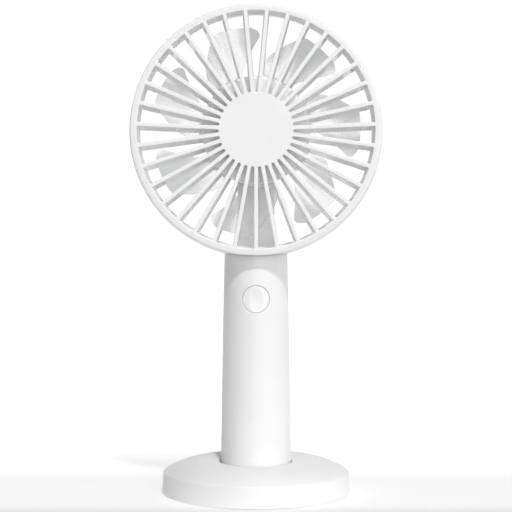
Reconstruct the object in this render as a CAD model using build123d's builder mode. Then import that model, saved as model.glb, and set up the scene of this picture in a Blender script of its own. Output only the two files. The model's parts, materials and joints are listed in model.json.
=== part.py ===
from build123d import *

import os
from math import cos, radians, sin, sqrt, tan

# Handheld electric fan standing in its round desk base.
# Frame: origin at the centre of the base's underside, +Z up, the air leaves towards -Y.
# Every size is in millimetres.

# Desk base
BASE_R = 39.75
BASE_TOP_R = 39.3
BASE_WALL = 2.0
BASE_LIFT = 0.4
BASE_RIM_Z = 8.9
BASE_CROWN_Z = 13.1
BASE_DOME_MID_R = 33.0
BASE_DOME_MID_Z = 12.0
BASE_ROOF_T = 2.1
BASE_EDGE_R = 0.8
SOCKET_R = 15.35
SOCKET_FLOOR_Z = 5.0
SOCKET_FLOOR_T = 1.8
PAD_R = 34.0
PAD_T = 1.0
PAD_EDGE = 0.2
PLATE_R = 37.3
PLATE_T = 1.8
PLATE_LEDGE_R = 34.3
WEIGHT_OUTER_R = 34.0
WEIGHT_INNER_R = 18.6
WEIGHT_T = 3.6
WEIGHT_LIFT = 0.1
WEIGHT_EDGE = 0.4
BASE_BOSS_R = 3.0
BASE_BOSS_TOP_Z = 12.5
BASE_BOSS_GAP = 0.4

# Handle: its radius falls from the foot by a slope and a small curvature
HANDLE_FOOT_Z = 5.2
HANDLE_FOOT_R = 14.92
HANDLE_SLOPE = 0.0095
HANDLE_CURVE = 0.0000665
HANDLE_WALL = 1.8
HANDLE_EDGE_R = 0.8
HANDLE_ROOF_Z = 95.8
HANDLE_BLANK_Z = 106.0
END_CAP_T = 3.0
END_CAP_INSET = 0.2
END_CAP_GAP = 0.25
END_CAP_EDGE = 0.4
END_BOSS_X = 10.1
END_BOSS_R = 3.1
END_BOSS_LOW_Z = 8.6
END_BOSS_HIGH_Z = 15.4
NECK_BOSS_R = 2.3
NECK_BOSS_LOW_Z = 90.5
NECK_BOSS_OVERLAP = 0.5
LEAD_HOLE_Y = 7.8
LEAD_HOLE_R = 3.0

# Screws: every set has a round head with a cross recess
CROSS_SHARE = 0.52
CROSS_W = 0.5
CROSS_DEPTH = 0.6
PILOT_GAP = 0.05
THROUGH_GAP = 0.2
SINK_GAP = 0.2
BASE_SCREW_CIRCLE_R = 27.0
BASE_SCREW_HEAD_R = 2.3
BASE_SCREW_HEAD_T = 1.1
BASE_SCREW_R = 1.05
BASE_SCREW_LENGTH = 6.0
BASE_PILOT_TOP_Z = 8.3
END_SCREW_HEAD_R = 1.9
END_SCREW_HEAD_T = 1.2
END_SCREW_R = 1.0
END_SCREW_LENGTH = 7.0
END_SCREW_SINK = 1.5
END_PILOT_TOP_Z = 14.4
NECK_SCREW_X = 8.0
NECK_SCREW_Y = 2.0
NECK_SCREW_HEAD_R = 2.1
NECK_SCREW_HEAD_T = 1.3
NECK_SCREW_R = 1.1
NECK_SCREW_LENGTH = 9.0
NECK_SCREW_SINK = 1.6
NECK_SCREW_WELL = 3.0
NECK_PILOT_LOW_Z = 91.8

# Push button and its switch
BUTTON_Z = 82.5
BUTTON_R = 5.6
BUTTON_GAP = 0.2
BUTTON_GROOVE_DEPTH = 0.4
BUTTON_INSET = 0.1
BUTTON_WALL = 1.05
BUTTON_EDGE_R = 0.2
BUTTON_FACE_T = 1.55
BUTTON_PATCH = 9.0
BUTTON_SKIRT_Y = -10.2
BUTTON_NUB_R = 1.5
BUTTON_NUB_L = 1.0
BUTTON_NUB_GAP = 0.05
BUTTON_FLANGE_T = 0.5
BUTTON_FLANGE_W = 0.75
BUTTON_FLANGE_GAP = 0.4
DISH_SPHERE_R = 30.0
DISH_DEPTH = 0.42
SWITCH_SIDE = 6.0
SWITCH_T = 2.2
SWITCH_CORNER_R = 0.5
SWITCH_WELL = 1.7
PLUNGER_R = 1.7
PLUNGER_LENGTH = 1.6
PLUNGER_OUT = 0.7
PLUNGER_EDGE_R = 0.2
FIT_GAP = 0.08

# Boards and what is soldered to them
BOARD_FRONT_Y = -8.8
BOARD_T = 1.0
BOARD_HALF_W = 5.6
BOARD_LOW_Z = 61.0
BOARD_HIGH_Z = 94.0
BOARD_CORNER_R = 0.8
CHIP_X = 2.2
CHIP_Z = 74.0
CHIP_W = 3.8
CHIP_H = 4.9
CHIP_T = 1.4
CHIP_EDGE = 0.2
INDUCTOR_Z = 66.2
INDUCTOR_SIDE = 5.0
INDUCTOR_T = 2.0
INDUCTOR_CORE_R = 1.7
INDUCTOR_CORE_T = 0.2
CAPACITOR_X = 2.6
CAPACITOR_Z = 73.6
CAPACITOR_PITCH = 2.0
CAPACITOR_W = 2.0
CAPACITOR_H = 1.2
CAPACITOR_T = 1.0
CAPACITOR_COUNT = 3

# Cell, its carrier and its tabs
CELL_R = 9.1
CELL_Y = 1.6
CELL_LOW_Z = 17.0
CELL_HIGH_Z = 82.0
CELL_EDGE_R = 0.6
CELL_NUB_R = 3.0
CELL_NUB_H = 1.0
CARRIER_GAP = 0.2
CARRIER_WALL = 0.9
CARRIER_END_T = 1.0
CARRIER_LOW_Z = 15.7
CARRIER_HIGH_Z = 84.2
RAIL_X = 5.4
RAIL_W = 1.8
RAIL_DEPTH = 1.25
RAIL_OVERLAP = 0.2
BOARD_REST_GAP = 0.05
TAB_T = 0.2
TAB_W = 4.0
TAB_REACH_Y = 2.0
TAB_TOP_Z = 64.0

# Charging socket
CHARGE_BOARD_Z = 84.4
CHARGE_BOARD_BACK_Y = 10.0
CHARGE_BOARD_GAP = 0.4
CHARGE_SOCKET_W = 7.4
CHARGE_SOCKET_H = 2.7
CHARGE_SOCKET_L = 7.2
CHARGE_SOCKET_BACK_Y = 12.6
CHARGE_SHELL_T = 0.3
CHARGE_END_T = 0.8
CHARGE_STEP_H = 0.9
CHARGE_STEP_W = 1.0
CHARGE_SLOT_MARGIN = 1.0
CHARGE_SLOT_CORNER_R = 1.0
CHARGE_SLOT_DEPTH = 6.0
TONGUE_W = 3.8
TONGUE_T = 0.7
TONGUE_Z_OFFSET = 0.25
TONGUE_INSET = 1.0

# Front grille
HEAD_Z = 153.0
FRONT_Y = -18.0
RING_OPENING_R = 49.3
RING_FLAT_R = 50.5
RING_OUTER_R = 52.2
RING_SLOPE_T = 0.2
RING_BACK_Y = -13.4
RING_EDGE_R = 0.6
RING_DRAFT = 0.2
LIP_OUTER_R = 50.3
LIP_BACK_Y = -10.0
GRILLE_T = 2.6
RIB_COUNT = 35
FRONT_RIB_W = 1.7
CENTRE_DISC_R = 15.45
SEAM = 0.1

# Rear housing and its covers
BAND_FRONT_R = 52.35
BAND_BACK_R = 53.5
BAND_BACK_Y = -3.7
BAND_INNER_R = 48.9
BAND_OVERLAP = 0.5
REAR_RIB_W = 2.5
REAR_RIB_T = 3.0
REAR_RIB_INSET = 0.2
REAR_FACE_Y = 12.0
REAR_SIDE_R = 50.4
REAR_CORNER_R = 5.0
NECK_HALF_W = 13.3
MOUNT_R = 20.5
MOUNT_LIP_Y = 12.4
MOUNT_FRONT_Y = 6.4
MOUNT_FLOOR_T = 2.2
MOUNT_WALL = 1.9
MOUNT_OVERLAP = 1.0
BEARING_BOSS_R = 6.4
BEARING_BOSS_FRONT_Y = 5.0
LEAD_SLOT_DROP = 12.0
LEAD_SLOT_L = 7.0
LEAD_SLOT_H = 4.0
LEAD_CHANNEL_W = 7.0
LEAD_CHANNEL_BACK_Y = 10.4
LEAD_CHANNEL_DEPTH = 3.2
DUCT_HALF_W = 7.85
DUCT_FRONT_Y = 5.6
DUCT_WALL = 1.6
DUCT_CAVITY_TOP_R = 21.5
DUCT_CAVITY_H = 27.5
COVER_GAP = 0.1
COVER_CROWN = 1.4
COVER_MID_R = 9.5
COVER_SHOULDER_R = 18.0
COVER_T = 1.2
DUCT_COVER_T = 1.4
DUCT_COVER_GAP = 0.2
DUCT_COVER_INSET = 0.1
DUCT_COVER_EDGE = 0.3

# Rotor
HUB_R = 22.8
HUB_FRONT_Y = -10.7
HUB_BACK_Y = 4.3
HUB_WALL = 1.6
HUB_EDGE_R = 1.5
BLADE_COUNT = 7
BLADE_TIP_R = 44.2
BLADE_T = 1.3
BLADE_MID_Y = -3.2
BLADE_BLANK_W = 54.0
BLADE_BLANK_DEPTH = 20.0
FIRST_BLADE_ANGLE = 2.6
BLADE_STACK_ANGLE = -22.0
BLADE_ROOT_R = 21.6
# distance from the axis, pitch in degrees and sideways offset of the blade's sections
BLADE_SECTIONS = ((15.0, 46.0, -5.6), (23.0, 41.0, -4.0), (34.0, 30.0, 0.8), (47.0, 21.0, 7.2))
# distance from the axis and clockwise angle of points on the blade's two sides
BLADE_LEADING = ((BLADE_ROOT_R, -16.5), (25.3, -15.5), (29.5, -11.0), (35.4, -5.0), (40.6, -0.4))
BLADE_TRAILING = ((42.6, -28.0), (35.8, -37.5), (29.5, -46.0), (BLADE_ROOT_R, -50.5))
BLADE_LEADING_TIP = ((43.2, -0.6), (BLADE_TIP_R, -5.0))
BLADE_TIP = ((BLADE_TIP_R, -15.0), (BLADE_TIP_R, -25.5))
BLADE_TRAILING_TIP = (43.7, -27.4)
SHAFT_R = 1.5
SHAFT_END_Y = 9.2
SHAFT_EDGE = 0.3
PRESS_GAP = 0.01
CLIP_R = 2.8
CLIP_T = 0.4
CLIP_BACK_Y = 8.6
CLIP_MOUTH_W = 1.2
CLIP_MOUTH_L = 2.0
CLIP_MOUTH_R = 2.2
CUP_OUTER_R = 21.1
CUP_INNER_R = 20.0
CUP_FRONT_Y = -9.0
CUP_BACK_Y = 3.6
CUP_T = 0.8
MAGNET_INNER_R = 18.3
MAGNET_BACK_Y = 3.0
MAGNET_L = 9.0
MAGNET_GAP = 0.05

# Stator and bearings
STATOR_R = 17.5
STATOR_BACK_Y = 1.0
STATOR_STACK = 6.0
STATOR_RIM_T = 2.4
STATOR_RIM_SLOT_W = 4.0
STATOR_RIM_OVERCUT = 0.2
POLE_COUNT = 6
POLE_ROOT_R = 7.5
POLE_MID_R = 11.2
POLE_L = 9.0
POLE_W = 3.4
COIL_MID_R = 11.3
COIL_L = 5.6
COIL_W = 6.8
COIL_CORNER_R = 0.8
COIL_OVERHANG = 1.4
COIL_GAP = 0.05
SEAT_GAP = 0.02
TUBE_OUTER_R = 4.2
TUBE_INNER_R = 3.2
TUBE_BACK_Y = 9.6
TUBE_L = 15.4
BEARING_L = 3.0
BEARING_GAP = 0.04
BEARING_EDGE = 0.2
FRONT_BEARING_Y = -2.2
REAR_BEARING_Y = 7.8
MOTOR_BOARD_Y = 5.6
MOTOR_BOARD_R = 15.5
MOTOR_BOARD_HOLE_R = 6.7
DRIVER_RISE = 11.0
DRIVER_W = 4.4
DRIVER_H = 3.6
DRIVER_T = 1.1
LEAD_R = 0.55
LEAD_X = 1.2
LEAD_BEND_R = 2.2
LEAD_BACK_Y = 9.4
LEAD_LOW_Z = 93.0

HEAD_AXIS = Axis((0, 0, HEAD_Z), (0, 1, 0))
HEAD_SECTION = Plane(origin=(0, 0, HEAD_Z), x_dir=(0, 1, 0), z_dir=(1, 0, 0))
BOARD_BACK_Y = BOARD_FRONT_Y + BOARD_T
BASE_SCREW_PLACES = [
    (BASE_SCREW_CIRCLE_R * cos(radians(turn)), BASE_SCREW_CIRCLE_R * sin(radians(turn)))
    for turn in (90, 210, 330)
]
END_SCREW_PLACES = [(-END_BOSS_X, 0), (END_BOSS_X, 0)]
NECK_SCREW_PLACES = [(-NECK_SCREW_X, NECK_SCREW_Y), (NECK_SCREW_X, NECK_SCREW_Y)]


def handle_radius(z):
    """Outer radius of the handle at height z."""
    rise = z - HANDLE_FOOT_Z
    return HANDLE_FOOT_R - HANDLE_SLOPE * rise - HANDLE_CURVE * rise**2


def head_plane(y):
    """Upright plane across the head at depth y, facing the front, centred on the head's axis."""
    return Plane(origin=(0, y, HEAD_Z), x_dir=(1, 0, 0), z_dir=(0, -1, 0))


def front_plane(y, z=0.0):
    """Upright plane facing the front at depth y, centred at height z on the handle's axis."""
    return Plane(origin=(0, y, z), x_dir=(1, 0, 0), z_dir=(0, -1, 0))


def polar(radius, clockwise):
    """Point at a radius and a clockwise angle from 12 o'clock, seen from the front."""
    return (radius * sin(radians(clockwise)), radius * cos(radians(clockwise)))


def discs(places, radius, z):
    """Level discs of one radius at height z, centred on the places."""
    with BuildSketch(Plane.XY.offset(z)) as sketch:
        with Locations(*places):
            Circle(radius)
    return sketch.sketch


def screws(places, seat_z, heads_up, head_r, head_t, shank_r, length):
    """Adds cross-headed screws whose heads bear on a level seat to the part being built."""
    extrude(discs(places, head_r, seat_z), amount=heads_up * head_t)
    extrude(discs(places, shank_r, seat_z), amount=-heads_up * length)
    with BuildSketch(Plane.XY.offset(seat_z + heads_up * head_t)) as crosses:
        with Locations(*places):
            Rectangle(2 * CROSS_SHARE * head_r, CROSS_W)
            Rectangle(CROSS_W, 2 * CROSS_SHARE * head_r)
    extrude(crosses.sketch, amount=-heads_up * CROSS_DEPTH, mode=Mode.SUBTRACT)


def round_holes(places, radius, from_z, to_z):
    """Drills upright round holes between two heights through the part being built."""
    extrude(discs(places, radius, from_z), amount=to_z - from_z, mode=Mode.SUBTRACT)


os.makedirs("parts", exist_ok=True)

# ---------------------------------------------------------------- desk base

# The cover is one moulding: drafted wall, a top that swells and dips to the handle, and its socket.
with BuildPart() as base_cover:
    with BuildSketch(Plane.XZ) as cover_section:
        with BuildLine():
            dome = ThreePointArc(
                (SOCKET_R, BASE_CROWN_Z),
                (BASE_DOME_MID_R, BASE_DOME_MID_Z),
                (BASE_TOP_R, BASE_RIM_Z),
            )
            under = ThreePointArc(
                (SOCKET_R + BASE_WALL, BASE_CROWN_Z - BASE_ROOF_T),
                (BASE_DOME_MID_R, BASE_DOME_MID_Z - BASE_ROOF_T),
                (BASE_TOP_R - BASE_WALL, BASE_RIM_Z - BASE_ROOF_T),
            )
            Polyline(dome @ 1, (BASE_R, BASE_LIFT), (BASE_R - BASE_WALL, BASE_LIFT), under @ 1)
            Polyline(
                under @ 0,
                (SOCKET_R + BASE_WALL, SOCKET_FLOOR_Z - SOCKET_FLOOR_T),
                (0, SOCKET_FLOOR_Z - SOCKET_FLOOR_T),
                (0, SOCKET_FLOOR_Z),
                (SOCKET_R, SOCKET_FLOOR_Z),
                dome @ 0,
            )
        make_face()
        fillet(cover_section.vertices().sort_by_distance((SOCKET_R, BASE_CROWN_Z))[0], BASE_EDGE_R)
        fillet(cover_section.vertices().sort_by_distance((BASE_TOP_R, BASE_RIM_Z))[0], BASE_EDGE_R)
    revolve(axis=Axis.Z)
    with BuildSketch(Plane.XY.offset(PAD_T + PLATE_T)):
        with Locations(*BASE_SCREW_PLACES):
            Circle(BASE_BOSS_R)
    extrude(amount=BASE_BOSS_TOP_Z - PAD_T - PLATE_T)
    round_holes(BASE_SCREW_PLACES, BASE_SCREW_R + PILOT_GAP, PAD_T, BASE_PILOT_TOP_Z)
base_cover.part.label = "base_cover"
export_step(base_cover.part, "parts/base_cover.step")

with BuildPart() as base_plate:
    with BuildSketch(Plane.XY.offset(PAD_T)):
        Circle(PLATE_R)
    extrude(amount=PLATE_T)
    with BuildSketch(Plane.XY.offset(BASE_LIFT)):
        Circle(PLATE_R)
        Circle(PLATE_LEDGE_R, mode=Mode.SUBTRACT)
    extrude(amount=PAD_T - BASE_LIFT)
    base_seat_z = PAD_T + BASE_SCREW_HEAD_T
    round_holes(BASE_SCREW_PLACES, BASE_SCREW_HEAD_R + SINK_GAP, PAD_T, base_seat_z)
    round_holes(BASE_SCREW_PLACES, BASE_SCREW_R + THROUGH_GAP, PAD_T, PAD_T + PLATE_T)
base_plate.part.label = "base_plate"
export_step(base_plate.part, "parts/base_plate.step")

with BuildPart() as base_weight:
    with BuildSketch(Plane.XY.offset(PAD_T + PLATE_T + WEIGHT_LIFT)):
        Circle(WEIGHT_OUTER_R)
        Circle(WEIGHT_INNER_R, mode=Mode.SUBTRACT)
        with Locations(*BASE_SCREW_PLACES):
            Circle(BASE_BOSS_R + BASE_BOSS_GAP, mode=Mode.SUBTRACT)
    extrude(amount=WEIGHT_T)
    chamfer(base_weight.edges().group_by(Axis.Z)[-1], WEIGHT_EDGE)
base_weight.part.label = "base_weight"
export_step(base_weight.part, "parts/base_weight.step")

# The pad's glue line leaves it just clear of the plate.
with BuildPart() as foot_pad:
    with BuildSketch():
        Circle(PAD_R)
    extrude(amount=PAD_T - SEAT_GAP)
    chamfer(foot_pad.edges().group_by(Axis.Z)[0], PAD_EDGE)
foot_pad.part.label = "foot_pad"
export_step(foot_pad.part, "parts/foot_pad.step")

with BuildPart() as base_screws:
    screws(
        BASE_SCREW_PLACES,
        base_seat_z,
        -1,
        BASE_SCREW_HEAD_R,
        BASE_SCREW_HEAD_T,
        BASE_SCREW_R,
        BASE_SCREW_LENGTH,
    )
base_screws.part.label = "base_screws"
export_step(base_screws.part, "parts/base_screws.step")

# ---------------------------------------------------------------- handle

# Outer envelope of the band behind the grille ring, which the handle's saddle is cut to.
band_slope = (BAND_BACK_R - BAND_FRONT_R) / (BAND_BACK_Y - RING_BACK_Y - SEAM)
with BuildPart() as head_envelope:
    with BuildSketch(HEAD_SECTION):
        with BuildLine():
            Polyline(
                (FRONT_Y, 0),
                (FRONT_Y, BAND_BACK_R + FIT_GAP + band_slope * (FRONT_Y - BAND_BACK_Y)),
                (BAND_BACK_Y, BAND_BACK_R + FIT_GAP),
                (HANDLE_FOOT_R, BAND_BACK_R + FIT_GAP),
                (HANDLE_FOOT_R, 0),
                close=True,
            )
        make_face()
    revolve(axis=HEAD_AXIS)


def handle_arc(inset, low_z, high_z):
    """Side line of the handle between two heights, moved in by the inset."""
    middle_z = (low_z + high_z) / 2
    return ThreePointArc(
        (handle_radius(low_z) - inset, low_z),
        (handle_radius(middle_z) - inset, middle_z),
        (handle_radius(high_z) - inset, high_z),
    )


# Shallow groove round the button: its floor follows the handle's surface.
with BuildPart() as button_groove:
    with BuildSketch(Plane.XZ):
        with BuildLine():
            groove_floor = handle_arc(BUTTON_GROOVE_DEPTH, BUTTON_Z - BUTTON_PATCH, BUTTON_Z + BUTTON_PATCH)
            groove_mouth = handle_arc(-BUTTON_GROOVE_DEPTH, BUTTON_Z - BUTTON_PATCH, BUTTON_Z + BUTTON_PATCH)
            Line(groove_floor @ 0, groove_mouth @ 0)
            Line(groove_floor @ 1, groove_mouth @ 1)
        make_face()
    revolve(axis=Axis.Z)
    with BuildSketch(front_plane(0, BUTTON_Z)):
        Circle(BUTTON_R + BUTTON_GAP)
    extrude(amount=HANDLE_FOOT_R, mode=Mode.INTERSECT)

socket_centre_z = CHARGE_BOARD_Z + BOARD_T + CHARGE_SOCKET_H / 2

with BuildPart() as handle_shell:
    with BuildSketch(Plane.XZ):
        with BuildLine():
            outside = handle_arc(0, HANDLE_FOOT_Z, HANDLE_BLANK_Z)
            inside = handle_arc(HANDLE_WALL, HANDLE_FOOT_Z, HANDLE_ROOF_Z)
            Line(outside @ 0, inside @ 0)
            Polyline(inside @ 1, (0, HANDLE_ROOF_Z), (0, HANDLE_BLANK_Z), outside @ 1)
        make_face()
    revolve(axis=Axis.Z)
    add(head_envelope.part, mode=Mode.SUBTRACT)
    # Bosses for the end cap's screws and for the two neck screws
    with BuildSketch(Plane.XY.offset(END_BOSS_LOW_Z)):
        with Locations(*END_SCREW_PLACES):
            Circle(END_BOSS_R)
        Circle(HANDLE_FOOT_R - HANDLE_WALL / 2, mode=Mode.INTERSECT)
    extrude(amount=END_BOSS_HIGH_Z - END_BOSS_LOW_Z)
    with BuildSketch(Plane.XY.offset(NECK_BOSS_LOW_Z)):
        with Locations(*NECK_SCREW_PLACES):
            Circle(NECK_BOSS_R)
    extrude(amount=HANDLE_ROOF_Z + NECK_BOSS_OVERLAP - NECK_BOSS_LOW_Z)
    round_holes(END_SCREW_PLACES, END_SCREW_R + PILOT_GAP, HANDLE_FOOT_Z, END_PILOT_TOP_Z)
    round_holes(NECK_SCREW_PLACES, NECK_SCREW_R + PILOT_GAP, NECK_PILOT_LOW_Z, HANDLE_BLANK_Z)
    # Hole for the motor's leads, the button's hole and the charging slot at the back
    round_holes([(0, LEAD_HOLE_Y)], LEAD_HOLE_R, NECK_BOSS_LOW_Z, HANDLE_BLANK_Z)
    with BuildSketch(front_plane(BOARD_FRONT_Y, BUTTON_Z)):
        Circle(BUTTON_R + FIT_GAP)
    extrude(amount=HANDLE_FOOT_R, mode=Mode.SUBTRACT)
    add(button_groove.part, mode=Mode.SUBTRACT)
    with BuildSketch(front_plane(HANDLE_FOOT_R, socket_centre_z)):
        RectangleRounded(
            CHARGE_SOCKET_W + CHARGE_SLOT_MARGIN,
            CHARGE_SOCKET_H + CHARGE_SLOT_MARGIN,
            CHARGE_SLOT_CORNER_R,
        )
    extrude(amount=CHARGE_SLOT_DEPTH, mode=Mode.SUBTRACT)
    fillet(handle_shell.edges().group_by(Axis.Z)[0].sort_by(SortBy.LENGTH)[-1], HANDLE_EDGE_R)
handle_shell.part.label = "handle_shell"
export_step(handle_shell.part, "parts/handle_shell.step")

with BuildPart() as handle_end_cap:
    end_cap_z = HANDLE_FOOT_Z + END_CAP_INSET
    end_seat_z = end_cap_z + END_SCREW_SINK
    with BuildSketch(Plane.XY.offset(end_cap_z)):
        Circle(HANDLE_FOOT_R - HANDLE_WALL - END_CAP_GAP)
    extrude(amount=END_CAP_T)
    chamfer(handle_end_cap.edges().group_by(Axis.Z)[0], END_CAP_EDGE)
    round_holes(END_SCREW_PLACES, END_SCREW_HEAD_R + SINK_GAP, end_cap_z, end_seat_z)
    round_holes(END_SCREW_PLACES, END_SCREW_R + THROUGH_GAP, end_cap_z, end_cap_z + END_CAP_T)
handle_end_cap.part.label = "handle_end_cap"
export_step(handle_end_cap.part, "parts/handle_end_cap.step")

with BuildPart() as end_cap_screws:
    screws(
        END_SCREW_PLACES,
        end_seat_z,
        -1,
        END_SCREW_HEAD_R,
        END_SCREW_HEAD_T,
        END_SCREW_R,
        END_SCREW_LENGTH,
    )
end_cap_screws.part.label = "end_cap_screws"
export_step(end_cap_screws.part, "parts/end_cap_screws.step")

# The carrier is a trough round the back of the cell, with an end wall at each end and two rails
# that the control board stands against.
with BuildPart() as battery_carrier:
    trough_r = CELL_R + CARRIER_GAP
    rail_front_y = BOARD_BACK_Y + BOARD_REST_GAP
    rail_back_y = rail_front_y + RAIL_DEPTH
    with BuildSketch(Plane.XY.offset(CARRIER_LOW_Z)):
        with Locations((0, CELL_Y)):
            Circle(trough_r + CARRIER_WALL)
            Circle(trough_r, mode=Mode.SUBTRACT)
        with Locations((0, rail_back_y)):
            Rectangle(3 * CELL_R, CELL_R, align=(Align.CENTER, Align.MAX), mode=Mode.SUBTRACT)
    extrude(amount=CARRIER_HIGH_Z - CARRIER_LOW_Z)
    for low_z in (CARRIER_LOW_Z, CARRIER_HIGH_Z - CARRIER_END_T):
        with BuildSketch(Plane.XY.offset(low_z)):
            with Locations((0, CELL_Y)):
                Circle(trough_r + CARRIER_WALL / 2)
            with Locations((0, rail_back_y)):
                Rectangle(3 * CELL_R, CELL_R, align=(Align.CENTER, Align.MAX), mode=Mode.SUBTRACT)
        extrude(amount=CARRIER_END_T)
    with BuildSketch(Plane.XY.offset(BOARD_LOW_Z)):
        with Locations((-RAIL_X, rail_front_y), (RAIL_X, rail_front_y)):
            Rectangle(RAIL_W, RAIL_DEPTH + RAIL_OVERLAP, align=(Align.CENTER, Align.MIN))
        with Locations((0, CELL_Y)):
            Circle(trough_r, mode=Mode.SUBTRACT)
    extrude(amount=CARRIER_HIGH_Z - BOARD_LOW_Z)
battery_carrier.part.label = "battery_carrier"
export_step(battery_carrier.part, "parts/battery_carrier.step")

with BuildPart() as battery_cell:
    with BuildSketch(Plane.XY.offset(CELL_LOW_Z)):
        with Locations((0, CELL_Y)):
            Circle(CELL_R)
    extrude(amount=CELL_HIGH_Z - CELL_NUB_H - CELL_LOW_Z)
    fillet(battery_cell.edges(), CELL_EDGE_R)
    with BuildSketch(Plane.XY.offset(CELL_HIGH_Z - CELL_NUB_H)):
        with Locations((0, CELL_Y)):
            Circle(CELL_NUB_R)
    extrude(amount=CELL_NUB_H)
battery_cell.part.label = "battery_cell"
export_step(battery_cell.part, "parts/battery_cell.step")

# Nickel strips: one straight from the cell's top to the board, one up the cell's front.
with BuildPart() as positive_tab:
    with BuildSketch(Plane.XY.offset(CELL_HIGH_Z)):
        with Locations((0, BOARD_BACK_Y)):
            Rectangle(TAB_W, CELL_Y - BOARD_BACK_Y + TAB_REACH_Y, align=(Align.CENTER, Align.MIN))
    extrude(amount=TAB_T)
positive_tab.part.label = "positive_tab"
export_step(positive_tab.part, "parts/positive_tab.step")

with BuildPart() as negative_tab:
    with BuildSketch(Plane.YZ):
        with BuildLine():
            Polyline(
                (CELL_Y, CELL_LOW_Z),
                (CELL_Y, CELL_LOW_Z - TAB_T),
                (BOARD_BACK_Y, CELL_LOW_Z - TAB_T),
                (BOARD_BACK_Y, TAB_TOP_Z),
                (BOARD_BACK_Y + TAB_T, TAB_TOP_Z),
                (BOARD_BACK_Y + TAB_T, CELL_LOW_Z),
                close=True,
            )
        make_face()
    extrude(amount=TAB_W / 2, both=True)
negative_tab.part.label = "negative_tab"
export_step(negative_tab.part, "parts/negative_tab.step")

with BuildPart() as control_board:
    with BuildSketch(front_plane(BOARD_BACK_Y, (BOARD_LOW_Z + BOARD_HIGH_Z) / 2)):
        RectangleRounded(2 * BOARD_HALF_W, BOARD_HIGH_Z - BOARD_LOW_Z, BOARD_CORNER_R)
    extrude(amount=BOARD_T)
control_board.part.label = "control_board"
export_step(control_board.part, "parts/control_board.step")

with BuildPart() as control_chip:
    with BuildSketch(front_plane(BOARD_FRONT_Y, CHIP_Z)):
        with Locations((-CHIP_X, 0)):
            Rectangle(CHIP_W, CHIP_H)
    extrude(amount=CHIP_T)
    chamfer(control_chip.faces().sort_by(Axis.Y)[0].edges(), CHIP_EDGE)
control_chip.part.label = "control_chip"
export_step(control_chip.part, "parts/control_chip.step")

with BuildPart() as power_inductor:
    with BuildSketch(front_plane(BOARD_FRONT_Y, INDUCTOR_Z)):
        RectangleRounded(INDUCTOR_SIDE, INDUCTOR_SIDE, BOARD_CORNER_R)
    extrude(amount=INDUCTOR_T)
    with BuildSketch(front_plane(BOARD_FRONT_Y - INDUCTOR_T, INDUCTOR_Z)):
        Circle(INDUCTOR_CORE_R)
    extrude(amount=INDUCTOR_CORE_T)
power_inductor.part.label = "power_inductor"
export_step(power_inductor.part, "parts/power_inductor.step")

with BuildPart() as board_capacitors:
    with BuildSketch(front_plane(BOARD_FRONT_Y, CAPACITOR_Z)):
        with Locations((CAPACITOR_X, 0)):
            with GridLocations(0, CAPACITOR_PITCH, 1, CAPACITOR_COUNT):
                Rectangle(CAPACITOR_W, CAPACITOR_H)
    extrude(amount=CAPACITOR_T)
board_capacitors.part.label = "board_capacitors"
export_step(board_capacitors.part, "parts/board_capacitors.step")

switch_front_y = BOARD_FRONT_Y - SWITCH_T
plunger_front_y = switch_front_y - PLUNGER_OUT

with BuildPart() as switch_body:
    with BuildSketch(front_plane(BOARD_FRONT_Y, BUTTON_Z)):
        RectangleRounded(SWITCH_SIDE, SWITCH_SIDE, SWITCH_CORNER_R)
    extrude(amount=SWITCH_T)
    with BuildSketch(front_plane(switch_front_y, BUTTON_Z)):
        Circle(PLUNGER_R + FIT_GAP)
    extrude(amount=-SWITCH_WELL, mode=Mode.SUBTRACT)
switch_body.part.label = "switch_body"
export_step(switch_body.part, "parts/switch_body.step")

with BuildPart() as switch_plunger:
    with BuildSketch(front_plane(plunger_front_y + PLUNGER_LENGTH, BUTTON_Z)):
        Circle(PLUNGER_R)
    extrude(amount=PLUNGER_LENGTH)
    fillet(switch_plunger.edges().group_by(Axis.Y)[0], PLUNGER_EDGE_R)
switch_plunger.part.label = "switch_plunger"
export_step(switch_plunger.part, "parts/switch_plunger.step")

# The button's face carries on the handle's curve and is slightly dished; its flange follows the
# handle's inner wall and keeps it from falling out.
button_skin_y = -handle_radius(BUTTON_Z)
flange_outer_r = handle_radius(BUTTON_Z) - HANDLE_WALL - BUTTON_FLANGE_GAP
flange_inner_r = flange_outer_r - BUTTON_FLANGE_T

with BuildPart() as button_flange:
    with BuildSketch(Plane.XY.offset(BUTTON_Z)):
        Circle(flange_outer_r)
        Circle(flange_inner_r, mode=Mode.SUBTRACT)
    extrude(amount=BUTTON_PATCH, both=True)
    with BuildSketch(front_plane(0, BUTTON_Z)):
        Circle(BUTTON_R + BUTTON_FLANGE_W)
    extrude(amount=HANDLE_FOOT_R, mode=Mode.INTERSECT)

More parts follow.
